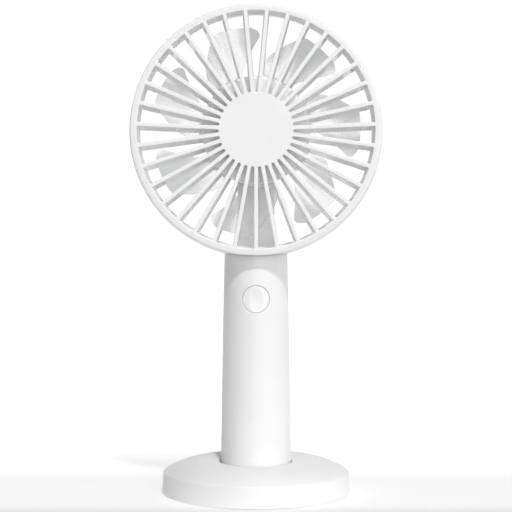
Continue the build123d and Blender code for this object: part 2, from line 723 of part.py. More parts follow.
with BuildPart() as button_cap:
    with BuildSketch(Plane.XZ):
        with BuildLine():
            skin = handle_arc(BUTTON_INSET, BUTTON_Z - BUTTON_PATCH, BUTTON_Z + BUTTON_PATCH)
            Polyline(skin @ 0, (0, BUTTON_Z - BUTTON_PATCH), (0, BUTTON_Z + BUTTON_PATCH), skin @ 1)
        make_face()
    revolve(axis=Axis.Z)
    with BuildSketch(front_plane(BUTTON_SKIRT_Y, BUTTON_Z)):
        Circle(BUTTON_R)
    extrude(amount=HANDLE_FOOT_R, mode=Mode.INTERSECT)
    front_edges = button_cap.edges().filter_by(GeomType.LINE, reverse=True).sort_by(Axis.Y)
    fillet(front_edges[0], BUTTON_EDGE_R)
    add(button_flange.part)
    with BuildSketch(front_plane(0, BUTTON_Z)):
        Circle(BUTTON_R - BUTTON_WALL)
    extrude(amount=-button_skin_y - BUTTON_FACE_T, mode=Mode.SUBTRACT)
    with BuildSketch(front_plane(plunger_front_y - BUTTON_NUB_GAP, BUTTON_Z)):
        Circle(BUTTON_NUB_R)
    extrude(amount=BUTTON_NUB_L)
    with Locations((0, button_skin_y - DISH_SPHERE_R + DISH_DEPTH + BUTTON_INSET, BUTTON_Z)):
        Sphere(DISH_SPHERE_R, mode=Mode.SUBTRACT)
button_cap.part.label = "button_cap"
export_step(button_cap.part, "parts/button_cap.step")

with BuildPart() as charge_board:
    with BuildSketch(Plane.XY.offset(CHARGE_BOARD_Z)):
        with Locations((0, BOARD_BACK_Y)):
            Rectangle(2 * BOARD_HALF_W, CHARGE_BOARD_BACK_Y - BOARD_BACK_Y, align=(Align.CENTER, Align.MIN))
        Circle(handle_radius(CHARGE_BOARD_Z) - HANDLE_WALL - CHARGE_BOARD_GAP, mode=Mode.INTERSECT)
    extrude(amount=BOARD_T)
charge_board.part.label = "charge_board"
export_step(charge_board.part, "parts/charge_board.step")


def socket_outline(inset):
    """Outline of the charging socket, moved in by the inset and narrower along its lower edge."""
    half_w = CHARGE_SOCKET_W / 2 - inset
    half_h = CHARGE_SOCKET_H / 2 - inset
    return [
        (-half_w, half_h),
        (half_w, half_h),
        (half_w, -half_h + CHARGE_STEP_H),
        (half_w - CHARGE_STEP_W, -half_h),
        (-half_w + CHARGE_STEP_W, -half_h),
        (-half_w, -half_h + CHARGE_STEP_H),
    ]


# Charging socket: a folded steel shell, open to the rear, round a plastic tongue.
with BuildPart() as charge_socket:
    with BuildSketch(front_plane(CHARGE_SOCKET_BACK_Y, socket_centre_z)):
        with BuildLine():
            Polyline(*socket_outline(0), close=True)
        make_face()
    extrude(amount=CHARGE_SOCKET_L)
    with BuildSketch(front_plane(CHARGE_SOCKET_BACK_Y, socket_centre_z)):
        with BuildLine():
            Polyline(*socket_outline(CHARGE_SHELL_T), close=True)
        make_face()
    extrude(amount=CHARGE_SOCKET_L - CHARGE_END_T, mode=Mode.SUBTRACT)
charge_socket.part.label = "charge_socket"
export_step(charge_socket.part, "parts/charge_socket.step")

with BuildPart() as socket_tongue:
    with BuildSketch(front_plane(CHARGE_SOCKET_BACK_Y - TONGUE_INSET, socket_centre_z)):
        with Locations((0, TONGUE_Z_OFFSET)):
            Rectangle(TONGUE_W, TONGUE_T)
    extrude(amount=CHARGE_SOCKET_L - CHARGE_END_T - TONGUE_INSET)
socket_tongue.part.label = "socket_tongue"
export_step(socket_tongue.part, "parts/socket_tongue.step")

# ---------------------------------------------------------------- head

# One opening of the front grille, pointing along +X: straight sides parallel to the two ribs
# beside it, a round inner end and an outer end on the opening's circle.
rib_half_angle = 180.0 / RIB_COUNT
slot_end_x = (CENTRE_DISC_R - FRONT_RIB_W / 2) / (1 - sin(radians(rib_half_angle)))


def slot_half_width(x):
    """Half width of a grille opening at distance x from the head's axis."""
    return x * tan(radians(rib_half_angle)) - FRONT_RIB_W / 2 / cos(radians(rib_half_angle))


with BuildSketch() as grille_slot:
    with BuildLine():
        Polyline(
            (slot_end_x, slot_half_width(slot_end_x)),
            (RING_OUTER_R, slot_half_width(RING_OUTER_R)),
            (RING_OUTER_R, -slot_half_width(RING_OUTER_R)),
            (slot_end_x, -slot_half_width(slot_end_x)),
            close=True,
        )
    make_face()
    with Locations((slot_end_x, 0)):
        Circle(slot_end_x - CENTRE_DISC_R)
    Circle(RING_OPENING_R, mode=Mode.INTERSECT)

with BuildPart() as front_grille:
    with BuildSketch(HEAD_SECTION) as ring_section:
        with BuildLine():
            Polyline(
                (FRONT_Y, RING_OPENING_R),
                (FRONT_Y, RING_FLAT_R),
                (FRONT_Y + RING_SLOPE_T, RING_OUTER_R),
                (RING_BACK_Y, RING_OUTER_R),
                (RING_BACK_Y, LIP_OUTER_R),
                (LIP_BACK_Y, LIP_OUTER_R),
                (LIP_BACK_Y, RING_OPENING_R - RING_DRAFT),
                close=True,
            )
        make_face()
        rim_corner = (FRONT_Y + RING_SLOPE_T, RING_OUTER_R)
        fillet(ring_section.vertices().sort_by_distance(rim_corner)[0], RING_EDGE_R)
    revolve(axis=HEAD_AXIS)
    with BuildSketch(head_plane(FRONT_Y)):
        Circle(RING_FLAT_R)
        with PolarLocations(0, RIB_COUNT, start_angle=90):
            add(grille_slot.sketch, mode=Mode.SUBTRACT)
    extrude(amount=-GRILLE_T)
front_grille.part.label = "front_grille"
export_step(front_grille.part, "parts/front_grille.step")

# Rear housing: the band behind the ring, the caged rear ribs that wrap its corner, the motor
# mount, the wide wire duct at 6 o'clock and the neck block that sits on the handle.
with BuildPart() as rear_rib:
    with BuildSketch(Plane.YZ) as rib_section:
        with BuildLine():
            Polyline(
                (BAND_BACK_Y - BAND_OVERLAP, REAR_SIDE_R),
                (REAR_FACE_Y - REAR_RIB_T, REAR_SIDE_R),
                (REAR_FACE_Y - REAR_RIB_T, MOUNT_R - MOUNT_OVERLAP),
                (REAR_FACE_Y, MOUNT_R - MOUNT_OVERLAP),
                (REAR_FACE_Y, BAND_BACK_R - REAR_RIB_INSET),
                (BAND_BACK_Y - BAND_OVERLAP, BAND_BACK_R - REAR_RIB_INSET),
                close=True,
            )
        make_face()
        outer_corner = (REAR_FACE_Y, BAND_BACK_R)
        inner_corner = (REAR_FACE_Y - REAR_RIB_T, REAR_SIDE_R)
        fillet(rib_section.vertices().sort_by_distance(outer_corner)[0], REAR_CORNER_R)
        fillet(rib_section.vertices().sort_by_distance(inner_corner)[0], REAR_CORNER_R / 2)
    extrude(amount=REAR_RIB_W / 2, both=True)

with BuildPart() as rear_housing:
    with BuildSketch(HEAD_SECTION):
        with BuildLine():
            Polyline(
                (RING_BACK_Y + SEAM, BAND_FRONT_R),
                (BAND_BACK_Y, BAND_BACK_R),
                (BAND_BACK_Y, BAND_INNER_R),
                (LIP_BACK_Y + SEAM, BAND_INNER_R + SEAM),
                (LIP_BACK_Y + SEAM, LIP_OUTER_R + SEAM),
                (RING_BACK_Y + SEAM, LIP_OUTER_R + SEAM),
                close=True,
            )
        make_face()
    revolve(axis=HEAD_AXIS)
    for index in range(RIB_COUNT):
        turn = 180 + index * 360 / RIB_COUNT
        add(rear_rib.part.moved(Location((0, 0, HEAD_Z))).rotate(HEAD_AXIS, turn))
    # Motor mount: a shallow cup that opens to the rear, with the bearing boss in its middle
    with BuildSketch(head_plane(MOUNT_LIP_Y)):
        Circle(MOUNT_R)
    extrude(amount=MOUNT_LIP_Y - MOUNT_FRONT_Y)
    # Neck block and wire duct
    with BuildSketch(head_plane(REAR_FACE_Y)):
        Circle(BAND_BACK_R)
        Circle(REAR_SIDE_R, mode=Mode.SUBTRACT)
        Rectangle(2 * NECK_HALF_W, BAND_BACK_R, align=(Align.CENTER, Align.MAX), mode=Mode.INTERSECT)
    extrude(amount=REAR_FACE_Y - BAND_BACK_Y + BAND_OVERLAP)
    with BuildSketch(head_plane(REAR_FACE_Y)):
        Circle(BAND_BACK_R)
        Circle(MOUNT_R - MOUNT_OVERLAP, mode=Mode.SUBTRACT)
        Rectangle(2 * DUCT_HALF_W, BAND_BACK_R, align=(Align.CENTER, Align.MAX), mode=Mode.INTERSECT)
    extrude(amount=REAR_FACE_Y - DUCT_FRONT_Y)
    # Cavities
    with BuildSketch(head_plane(MOUNT_LIP_Y)):
        Circle(MOUNT_R - MOUNT_WALL)
    extrude(amount=MOUNT_LIP_Y - MOUNT_FRONT_Y - MOUNT_FLOOR_T, mode=Mode.SUBTRACT)
    with BuildSketch(head_plane(TUBE_BACK_Y)):
        Circle(BEARING_BOSS_R)
    extrude(amount=TUBE_BACK_Y - BEARING_BOSS_FRONT_Y)
    with BuildSketch(head_plane(REAR_FACE_Y)):
        Circle(TUBE_OUTER_R + SEAT_GAP)
        with Locations((0, -LEAD_SLOT_DROP)):
            SlotOverall(LEAD_SLOT_L, LEAD_SLOT_H)
    extrude(amount=REAR_FACE_Y, mode=Mode.SUBTRACT)
    with BuildSketch(head_plane(REAR_FACE_Y)):
        with Locations((0, -DUCT_CAVITY_TOP_R)):
            Rectangle(2 * (DUCT_HALF_W - DUCT_WALL), DUCT_CAVITY_H, align=(Align.CENTER, Align.MAX))
    extrude(amount=REAR_FACE_Y - DUCT_FRONT_Y - DUCT_WALL, mode=Mode.SUBTRACT)
    with BuildSketch(head_plane(LEAD_CHANNEL_BACK_Y)):
        Rectangle(LEAD_CHANNEL_W, BAND_BACK_R + MOUNT_WALL, align=(Align.CENTER, Align.MAX))
        Circle(MOUNT_R - MOUNT_WALL - MOUNT_OVERLAP, mode=Mode.SUBTRACT)
    extrude(amount=LEAD_CHANNEL_DEPTH, mode=Mode.SUBTRACT)
    # Neck screws: counterbored from inside the head
    neck_top_z = HEAD_Z - sqrt(REAR_SIDE_R**2 - NECK_SCREW_X**2)
    neck_seat_z = neck_top_z - NECK_SCREW_SINK
    neck_well_z = neck_top_z + NECK_SCREW_WELL
    round_holes(NECK_SCREW_PLACES, NECK_SCREW_HEAD_R + SINK_GAP, neck_seat_z, neck_well_z)
    round_holes(NECK_SCREW_PLACES, NECK_SCREW_R + THROUGH_GAP, neck_seat_z - NECK_SCREW_LENGTH, neck_top_z)
rear_housing.part.label = "rear_housing"
export_step(rear_housing.part, "parts/rear_housing.step")

with BuildPart() as neck_screws:
    screws(
        NECK_SCREW_PLACES,
        neck_seat_z,
        1,
        NECK_SCREW_HEAD_R,
        NECK_SCREW_HEAD_T,
        NECK_SCREW_R,
        NECK_SCREW_LENGTH,
    )
neck_screws.part.label = "neck_screws"
export_step(neck_screws.part, "parts/neck_screws.step")

with BuildPart() as motor_cover:
    cover_r = MOUNT_R - MOUNT_WALL - COVER_GAP
    with BuildSketch(HEAD_SECTION):
        with BuildLine():
            crown = ThreePointArc(
                (REAR_FACE_Y + COVER_CROWN, 0),
                (REAR_FACE_Y + COVER_T, COVER_MID_R),
                (MOUNT_LIP_Y, COVER_SHOULDER_R),
            )
            Polyline(
                crown @ 1,
                (MOUNT_LIP_Y, cover_r),
                (REAR_FACE_Y - COVER_T, cover_r),
                (REAR_FACE_Y - COVER_T, 0),
                crown @ 0,
            )
        make_face()
    revolve(axis=HEAD_AXIS)
motor_cover.part.label = "motor_cover"
export_step(motor_cover.part, "parts/motor_cover.step")

with BuildPart() as duct_cover:
    with BuildSketch(head_plane(REAR_FACE_Y - DUCT_COVER_INSET)):
        with Locations((0, -DUCT_CAVITY_TOP_R - DUCT_COVER_GAP)):
            Rectangle(
                2 * (DUCT_HALF_W - DUCT_WALL) - DUCT_COVER_GAP,
                DUCT_CAVITY_H - 2 * DUCT_COVER_GAP,
                align=(Align.CENTER, Align.MAX),
            )
    extrude(amount=DUCT_COVER_T)
    chamfer(duct_cover.faces().sort_by(Axis.Y)[-1].edges(), DUCT_COVER_EDGE)
duct_cover.part.label = "duct_cover"
export_step(duct_cover.part, "parts/duct_cover.step")

# ---------------------------------------------------------------- rotor

# One blade, built flat round +Z with 12 o'clock along +Y: a twisted slab cut to the blade's
# outline. Seen from the front the blade leads clockwise and its leading side lies back.
with BuildPart() as blade:
    outward = Vector(sin(radians(BLADE_STACK_ANGLE)), cos(radians(BLADE_STACK_ANGLE)), 0)
    clockwise = Vector(cos(radians(BLADE_STACK_ANGLE)), -sin(radians(BLADE_STACK_ANGLE)), 0)
    for reach, pitch, offset in BLADE_SECTIONS:
        chord = clockwise * cos(radians(pitch)) - Vector(0, 0, sin(radians(pitch)))
        centre = outward * reach + clockwise * offset - Vector(0, 0, BLADE_MID_Y)
        with BuildSketch(Plane(origin=centre, x_dir=chord, z_dir=outward)):
            Rectangle(BLADE_BLANK_W, BLADE_T)
    loft()
    with BuildSketch():
        with BuildLine():
            leading = Spline(*[polar(*point) for point in BLADE_LEADING])
            tip_corner = Spline(
                leading @ 1,
                *[polar(*point) for point in BLADE_LEADING_TIP],
                tangents=(leading % 1, Vector(-1, 0)),
            )
            tip = ThreePointArc(tip_corner @ 1, *[polar(*point) for point in BLADE_TIP])
            trailing = Spline(*[polar(*point) for point in BLADE_TRAILING])
            ThreePointArc(tip @ 1, polar(*BLADE_TRAILING_TIP), trailing @ 0)
            Line(trailing @ 1, leading @ 0)
        make_face()
    extrude(amount=BLADE_BLANK_DEPTH, both=True, mode=Mode.INTERSECT)

with BuildPart() as impeller:
    with BuildSketch(HEAD_SECTION) as hub_section:
        with BuildLine():
            Polyline(
                (HUB_FRONT_Y, 0),
                (HUB_FRONT_Y, HUB_R),
                (HUB_BACK_Y, HUB_R),
                (HUB_BACK_Y, 0),
                close=True,
            )
        make_face()
        fillet(hub_section.vertices().sort_by_distance((HUB_FRONT_Y, HUB_R))[0], HUB_EDGE_R)
    revolve(axis=HEAD_AXIS)
    for index in range(BLADE_COUNT):
        turn = -FIRST_BLADE_ANGLE - index * 360 / BLADE_COUNT
        add((head_plane(0).location * Rotation(0, 0, turn)) * blade.part)
    with BuildSketch(head_plane(MOUNT_FRONT_Y)):
        Circle(HUB_R - HUB_WALL)
    extrude(amount=MOUNT_FRONT_Y - HUB_FRONT_Y - HUB_WALL, mode=Mode.SUBTRACT)
impeller.part.label = "impeller"
export_step(impeller.part, "parts/impeller.step")

with BuildPart() as rotor_cup:
    with BuildSketch(HEAD_SECTION):
        with BuildLine():
            Polyline(
                (CUP_FRONT_Y, SHAFT_R + PRESS_GAP),
                (CUP_FRONT_Y, CUP_OUTER_R),
                (CUP_BACK_Y, CUP_OUTER_R),
                (CUP_BACK_Y, CUP_INNER_R),
                (CUP_FRONT_Y + CUP_T, CUP_INNER_R),
                (CUP_FRONT_Y + CUP_T, SHAFT_R + PRESS_GAP),
                close=True,
            )
        make_face()
    revolve(axis=HEAD_AXIS)
rotor_cup.part.label = "rotor_cup"
export_step(rotor_cup.part, "parts/rotor_cup.step")

with BuildPart() as magnet_ring:
    with BuildSketch(head_plane(MAGNET_BACK_Y)):
        Circle(CUP_INNER_R - MAGNET_GAP)
        Circle(MAGNET_INNER_R, mode=Mode.SUBTRACT)
    extrude(amount=MAGNET_L)
magnet_ring.part.label = "magnet_ring"
export_step(magnet_ring.part, "parts/magnet_ring.step")

with BuildPart() as rotor_shaft:
    with BuildSketch(head_plane(SHAFT_END_Y)):
        Circle(SHAFT_R)
    extrude(amount=SHAFT_END_Y - CUP_FRONT_Y)
    chamfer(rotor_shaft.edges().group_by(Axis.Y)[-1], SHAFT_EDGE)
rotor_shaft.part.label = "rotor_shaft"
export_step(rotor_shaft.part, "parts/rotor_shaft.step")

with BuildPart() as shaft_clip:
    with BuildSketch(head_plane(CLIP_BACK_Y)):
        Circle(CLIP_R)
        Circle(SHAFT_R + SEAT_GAP, mode=Mode.SUBTRACT)
        with Locations((0, CLIP_MOUTH_R)):
            Rectangle(CLIP_MOUTH_W, CLIP_MOUTH_L, mode=Mode.SUBTRACT)
    extrude(amount=CLIP_T)
shaft_clip.part.label = "shaft_clip"
export_step(shaft_clip.part, "parts/shaft_clip.step")

# ---------------------------------------------------------------- stator and bearings

with BuildPart() as bearing_tube:
    with BuildSketch(head_plane(TUBE_BACK_Y)):
        Circle(TUBE_OUTER_R)
        Circle(TUBE_INNER_R, mode=Mode.SUBTRACT)
    extrude(amount=TUBE_L)
bearing_tube.part.label = "bearing_tube"
export_step(bearing_tube.part, "parts/bearing_tube.step")


def bearing_profile(back_y):
    """Half section of a plain bearing whose rear end is at back_y, with its bore's edges broken."""
    inner_r = SHAFT_R + BEARING_GAP
    outer_r = TUBE_INNER_R - SEAT_GAP
    front_y = back_y - BEARING_L
    return [
        (back_y, inner_r + BEARING_EDGE),
        (back_y, outer_r),
        (front_y, outer_r),
        (front_y, inner_r + BEARING_EDGE),
        (front_y + BEARING_EDGE, inner_r),
        (back_y - BEARING_EDGE, inner_r),
    ]


with BuildPart() as front_bearing:
    with BuildSketch(HEAD_SECTION):
        with BuildLine():
            Polyline(*bearing_profile(FRONT_BEARING_Y), close=True)
        make_face()
    revolve(axis=HEAD_AXIS)
front_bearing.part.label = "front_bearing"
export_step(front_bearing.part, "parts/front_bearing.step")

with BuildPart() as rear_bearing:
    with BuildSketch(HEAD_SECTION):
        with BuildLine():
            Polyline(*bearing_profile(REAR_BEARING_Y), close=True)
        make_face()
    revolve(axis=HEAD_AXIS)
rear_bearing.part.label = "rear_bearing"
export_step(rear_bearing.part, "parts/rear_bearing.step")

with BuildPart() as stator_core:
    with BuildSketch(head_plane(STATOR_BACK_Y)):
        Circle(POLE_ROOT_R)
        with PolarLocations(POLE_MID_R, POLE_COUNT, start_angle=90):
            Rectangle(POLE_L, POLE_W)
        Circle(TUBE_OUTER_R + SEAT_GAP, mode=Mode.SUBTRACT)
    extrude(amount=STATOR_STACK)
    with BuildSketch(head_plane(STATOR_BACK_Y)):
        Circle(STATOR_R)
        Circle(STATOR_R - STATOR_RIM_T, mode=Mode.SUBTRACT)
        with PolarLocations(STATOR_R - STATOR_RIM_T / 2, POLE_COUNT, start_angle=60):
            Rectangle(STATOR_RIM_SLOT_W, STATOR_RIM_T + STATOR_RIM_OVERCUT, mode=Mode.SUBTRACT)
    extrude(amount=STATOR_STACK)
stator_core.part.label = "stator_core"
export_step(stator_core.part, "parts/stator_core.step")

with BuildPart() as stator_coils:
    with BuildSketch(head_plane(STATOR_BACK_Y + COIL_OVERHANG)):
        with PolarLocations(COIL_MID_R, POLE_COUNT, start_angle=90):
            RectangleRounded(COIL_L, COIL_W, COIL_CORNER_R)
    extrude(amount=STATOR_STACK + 2 * COIL_OVERHANG)
    with BuildSketch(head_plane(STATOR_BACK_Y + COIL_GAP)):
        with PolarLocations(COIL_MID_R, POLE_COUNT, start_angle=90):
            Rectangle(POLE_L, POLE_W + 2 * COIL_GAP)
    extrude(amount=STATOR_STACK + 2 * COIL_GAP, mode=Mode.SUBTRACT)
stator_coils.part.label = "stator_coils"
export_step(stator_coils.part, "parts/stator_coils.step")

with BuildPart() as motor_board:
    with BuildSketch(head_plane(MOTOR_BOARD_Y)):
        Circle(MOTOR_BOARD_R)
        Circle(MOTOR_BOARD_HOLE_R, mode=Mode.SUBTRACT)
    extrude(amount=BOARD_T)
motor_board.part.label = "motor_board"
export_step(motor_board.part, "parts/motor_board.step")

with BuildPart() as driver_chip:
    with BuildSketch(head_plane(MOTOR_BOARD_Y - BOARD_T)):
        with Locations((0, DRIVER_RISE)):
            Rectangle(DRIVER_W, DRIVER_H)
    extrude(amount=DRIVER_T)
driver_chip.part.label = "driver_chip"
export_step(driver_chip.part, "parts/driver_chip.step")

# Two leads from the motor board, through the mount, down the duct and the neck to the board.
with BuildPart() as motor_leads:
    for lead_x in (-LEAD_X, LEAD_X):
        with BuildLine() as route:
            FilletPolyline(
                (lead_x, MOTOR_BOARD_Y, HEAD_Z - LEAD_SLOT_DROP),
                (lead_x, LEAD_BACK_Y, HEAD_Z - LEAD_SLOT_DROP),
                (lead_x, LEAD_BACK_Y, LEAD_LOW_Z),
                (lead_x, BOARD_BACK_Y, LEAD_LOW_Z),
                radius=LEAD_BEND_R,
            )
        with BuildSketch(Plane(origin=route.line @ 0, z_dir=route.line % 0)):
            Circle(LEAD_R)
        sweep()
motor_leads.part.label = "motor_leads"
export_step(motor_leads.part, "parts/motor_leads.step")
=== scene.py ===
import json
from math import atan2, ceil, cos, hypot, pi, radians, sin, sqrt, tan

import bmesh
import bpy
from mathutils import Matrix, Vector
from mathutils.geometry import tessellate_polygon


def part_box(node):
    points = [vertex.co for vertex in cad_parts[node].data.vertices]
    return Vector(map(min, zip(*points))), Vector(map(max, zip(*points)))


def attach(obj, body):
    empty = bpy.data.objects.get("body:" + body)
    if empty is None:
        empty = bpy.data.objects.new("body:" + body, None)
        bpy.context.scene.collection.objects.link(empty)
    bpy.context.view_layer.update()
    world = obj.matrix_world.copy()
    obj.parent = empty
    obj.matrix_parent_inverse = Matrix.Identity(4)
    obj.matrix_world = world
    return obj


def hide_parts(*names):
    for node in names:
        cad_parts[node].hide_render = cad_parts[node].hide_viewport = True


# Looks for the handheld electric fan in its round desk base.
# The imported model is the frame: +Z is up, the air leaves towards -Y, and the head turns about a
# level axis. Outlines are worked out in millimetres and become metres when a piece is made.
# The outer mouldings are rebuilt here as finer meshes; every other node comes from the frame.

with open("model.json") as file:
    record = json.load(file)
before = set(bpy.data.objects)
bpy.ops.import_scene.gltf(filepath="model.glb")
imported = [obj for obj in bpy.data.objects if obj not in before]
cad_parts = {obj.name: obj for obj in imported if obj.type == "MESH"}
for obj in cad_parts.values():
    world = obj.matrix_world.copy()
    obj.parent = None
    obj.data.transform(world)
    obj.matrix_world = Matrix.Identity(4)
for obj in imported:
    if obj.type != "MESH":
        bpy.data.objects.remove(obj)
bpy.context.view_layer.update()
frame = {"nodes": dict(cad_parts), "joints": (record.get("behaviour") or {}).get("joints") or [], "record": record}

MM = 0.001
TURN = 2 * pi
MERGE_DISTANCE_M = 2e-7
SHARP_ANGLE = 35.0


def span(node):
    """Lowest and highest corner of a CAD node, in millimetres."""
    low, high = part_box(node)
    return low / MM, high / MM


def joint(name):
    return next(each for each in frame["joints"] if each["name"] == name)


# ---------------------------------------------------------------- sizes

# Read from the frame
HEAD_Z = joint("impeller_spin")["pos_m"][2] / MM
grille_low, grille_high = span("front_grille")
housing_low, housing_high = span("rear_housing")
base_high = span("base_cover")[1]
handle_low, handle_high = span("handle_shell")
button_low, button_high = span("button_cap")
impeller_low = span("impeller")[0]
socket_low, socket_high = span("charge_socket")

# Front grille
FRONT_Y = grille_low.y
RING_R = grille_high.x
LIP_BACK_Y = grille_high.y
RING_DEPTH = 4.6
RING_EDGE_R = 0.6
RING_SLOPE_T = 0.2
RING_GROOVE_W = 0.22
RING_GROOVE_DEPTH = 0.1
RING_FLAT_R = RING_R - 1.7
OPENING_R = RING_R - 2.9
LIP_R = RING_R - 1.9
TUNNEL_R = OPENING_R + 0.5
LIP_EDGE_R = 0.2
LIP_EDGE_MID = 0.06
GRILLE_T = 2.6
RIB_COUNT = 35
FRONT_RIB_W = 1.7
FRONT_RIB_EDGE = 0.28
SLOT_CORNER_R = 0.45
DISC_R = 15.45
RING_STEPS_PER_RIB = 8
RIB_HALF_ANGLE = pi / RIB_COUNT
SLOT_END_X = (DISC_R - FRONT_RIB_W / 2) / (1 - sin(RIB_HALF_ANGLE))

# Rear housing's band, which the handle's top fits round
BAND_BACK_R = housing_high.x
BAND_FRONT_R = BAND_BACK_R - 1.15
BAND_FRONT_Y = housing_low.y
BAND_BACK_Y = -3.7

# Handle
HANDLE_FOOT_Z = handle_low.z
HANDLE_FOOT_R = handle_high.x
HANDLE_SLOPE = 0.0095
HANDLE_CURVE = 0.0000665
HANDLE_WALL = 1.8
HANDLE_EDGE_R = 0.8
SADDLE_GAP = 0.08
BUTTON_Z = (button_low.z + button_high.z) / 2
BUTTON_R = 5.6
BUTTON_HOLE_R = 5.8
BUTTON_LEDGE_R = 5.68
BUTTON_LEDGE_DEPTH = 0.4
BUTTON_INSET = 0.1
BUTTON_EDGE_R = 0.2
BUTTON_WALL = 1.05
BUTTON_FACE_T = 1.55
BUTTON_SKIRT_Y = -10.2
BUTTON_NUB_R = 1.5
BUTTON_NUB_END_Y = -11.75
BUTTON_FLANGE_W = 0.75
BUTTON_FLANGE_T = 0.5
BUTTON_FLANGE_GAP = 0.4
BUTTON_FLANGE_STEP = 0.05
DISH_R = 30.0
DISH_DEPTH = 0.42
SLOT_Z = (socket_low.z + socket_high.z) / 2
SLOT_HALF_W = 4.2
SLOT_HALF_H = 1.85
SLOT_R = 1.0
LIP_EDGE = 0.12

# Base
BASE_R = base_high.x
BASE_TOP_R = BASE_R - 0.45
BASE_LIFT = 0.4
BASE_RIM_Z = 8.9
BASE_CROWN_Z = 13.1
BASE_DOME_R = 33.0
BASE_DOME_Z = 12.0
BASE_WALL = 2.0
BASE_ROOF_T = 2.1
BASE_EDGE_R = 0.8
BASE_FOOT_EDGE_R = 0.25
SOCKET_R = 15.35
SOCKET_FLOOR_Z = 5.0
SOCKET_FLOOR_T = 1.8

# Rotor
HUB_R = 22.8
HUB_FRONT_Y = impeller_low.y
HUB_BACK_Y = 4.3
HUB_WALL = 1.6
HUB_EDGE_R = 1.5
HUB_FACE_EDGE_W = 3.2
HUB_BACK_EDGE_R = 0.3
HUB_INNER_EDGE_R = 0.6
HUB_STEPS = 224
BLADE_COUNT = 7
BLADE_TIP_R = 44.2
BLADE_T = 1.3
BLADE_MID_Y = -3.2
BLADE_STACK_ANGLE = radians(-22.0)
FIRST_BLADE_ANGLE = radians(2.6)


# ---------------------------------------------------------------- mesh tools


class Surface:
    """Points in millimetres and the faces between them."""

    def __init__(self):
        self.points = []
        self.faces = []

    def loop(self, points):
        """Adds points and gives their numbers."""
        first = len(self.points)
        self.points.extend(points)
        return list(range(first, len(self.points)))

    def bridge(self, one, other, closed=True):
        """Four-sided faces between two rows of the same length."""
        count = len(one)
        for here in range(count if closed else count - 1):
            there = (here + 1) % count
            self.faces.append((one[here], one[there], other[there], other[here]))

    def skin(self, loops, closed=True):
        for one, other in zip(loops, loops[1:]):
            self.bridge(one, other, closed)

    def cap(self, outside, *holes):
        """Flat face inside one loop and outside the others."""
        loops = [outside, *holes]
        flat = [number for loop in loops for number in loop]
        outlines = [[Vector(self.points[number]) for number in loop] for loop in loops]
        for corners in tessellate_polygon(outlines):
            self.faces.append(tuple(flat[corner] for corner in corners))

    def pole(self, loop, point):
        """Closes a loop onto one point."""
        tip = self.loop([point])[0]
        for here in range(len(loop)):
            self.faces.append((loop[here], loop[(here + 1) % len(loop)], tip))


def around_head(along, radius, turn):
    """Point at depth along and a radius from the head's axis, clockwise from 12 o'clock."""
    return (radius * sin(turn), along, HEAD_Z + radius * cos(turn))


def around_handle(along, radius, turn):
    """Point at height along and a radius from the handle's axis, turning from the front."""
    return (radius * sin(turn), -radius * cos(turn), along)


def lathe(surface, profile, place, steps):
    """Turns a closed profile of (along, radius) points; points on the axis become poles."""
    on_axis = [radius == 0 for _along, radius in profile]
    rings = [
        None
        if at_axis
        else surface.loop([place(along, radius, TURN * step / steps) for step in range(steps)])
        for (along, radius), at_axis in zip(profile, on_axis)
    ]
    for here in range(len(profile)):
        there = (here + 1) % len(profile)
        if rings[here] and rings[there]:
            surface.bridge(rings[here], rings[there])
        elif rings[here] or rings[there]:
            pole = there if rings[here] else here
            surface.pole(rings[here] or rings[there], place(profile[pole][0], 0.0, 0.0))


def arc(centre, radius, first, last, steps):
    """Points on a circle between two angles, both ends included."""
    return [
        (
            centre[0] + radius * cos(first + (last - first) * step / steps),
            centre[1] + radius * sin(first + (last - first) * step / steps),
        )
        for step in range(steps + 1)
    ]


def rounded(corners, steps):
    """Closed outline through (u, v, radius) corners, each rounded by its radius."""
    outline = []
    for number, (u, v, radius) in enumerate(corners):
        if radius <= 0:
            outline.append((u, v))
            continue
        corner = Vector((u, v))
        back = (Vector(corners[number - 1][:2]) - corner).normalized()
        ahead = (Vector(corners[(number + 1) % len(corners)][:2]) - corner).normalized()
        half = back.angle(ahead) / 2
        centre = corner + (back + ahead).normalized() * radius / sin(half)
        first = corner + back * radius / tan(half) - centre
        last = corner + ahead * radius / tan(half) - centre
        start = atan2(first.y, first.x)
        sweep = (atan2(last.y, last.x) - start + pi) % TURN - pi
        outline += arc(centre, radius, start, start + sweep, steps)
    return outline


def edge_steps(bevel, steps=4):
    """(inset, depth) pairs that round an edge by a quarter circle."""
    return [
        (bevel * (1 - sin(pi / 2 * step / steps)), bevel * (1 - cos(pi / 2 * step / steps)))
        for step in range(steps + 1)
    ]


def piece(name, surface, body, material, sharp=SHARP_ANGLE, replaces=()):
    """Makes one object of a surface, in metres, and hangs it on its CAD body."""
    mesh = bpy.data.meshes.new(name)
    mesh.from_pydata([Vector(point) * MM for point in surface.points], [], surface.faces)
    edit = bmesh.new()
    edit.from_mesh(mesh)
    bmesh.ops.remove_doubles(edit, verts=edit.verts, dist=MERGE_DISTANCE_M)
    bmesh.ops.recalc_face_normals(edit, faces=edit.faces)
    edit.to_mesh(mesh)
    edit.free()
    mesh.shade_smooth()
    mesh.set_sharp_from_angle(angle=radians(sharp))
    made = bpy.data.objects.new(name, mesh)
    bpy.context.scene.collection.objects.link(made)
    mesh.materials.append(material)
    weighted = made.modifiers.new("even_shading", "WEIGHTED_NORMAL")
    weighted.keep_sharp = True
    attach(made, body)
    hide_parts(*replaces)


# ---------------------------------------------------------------- materials

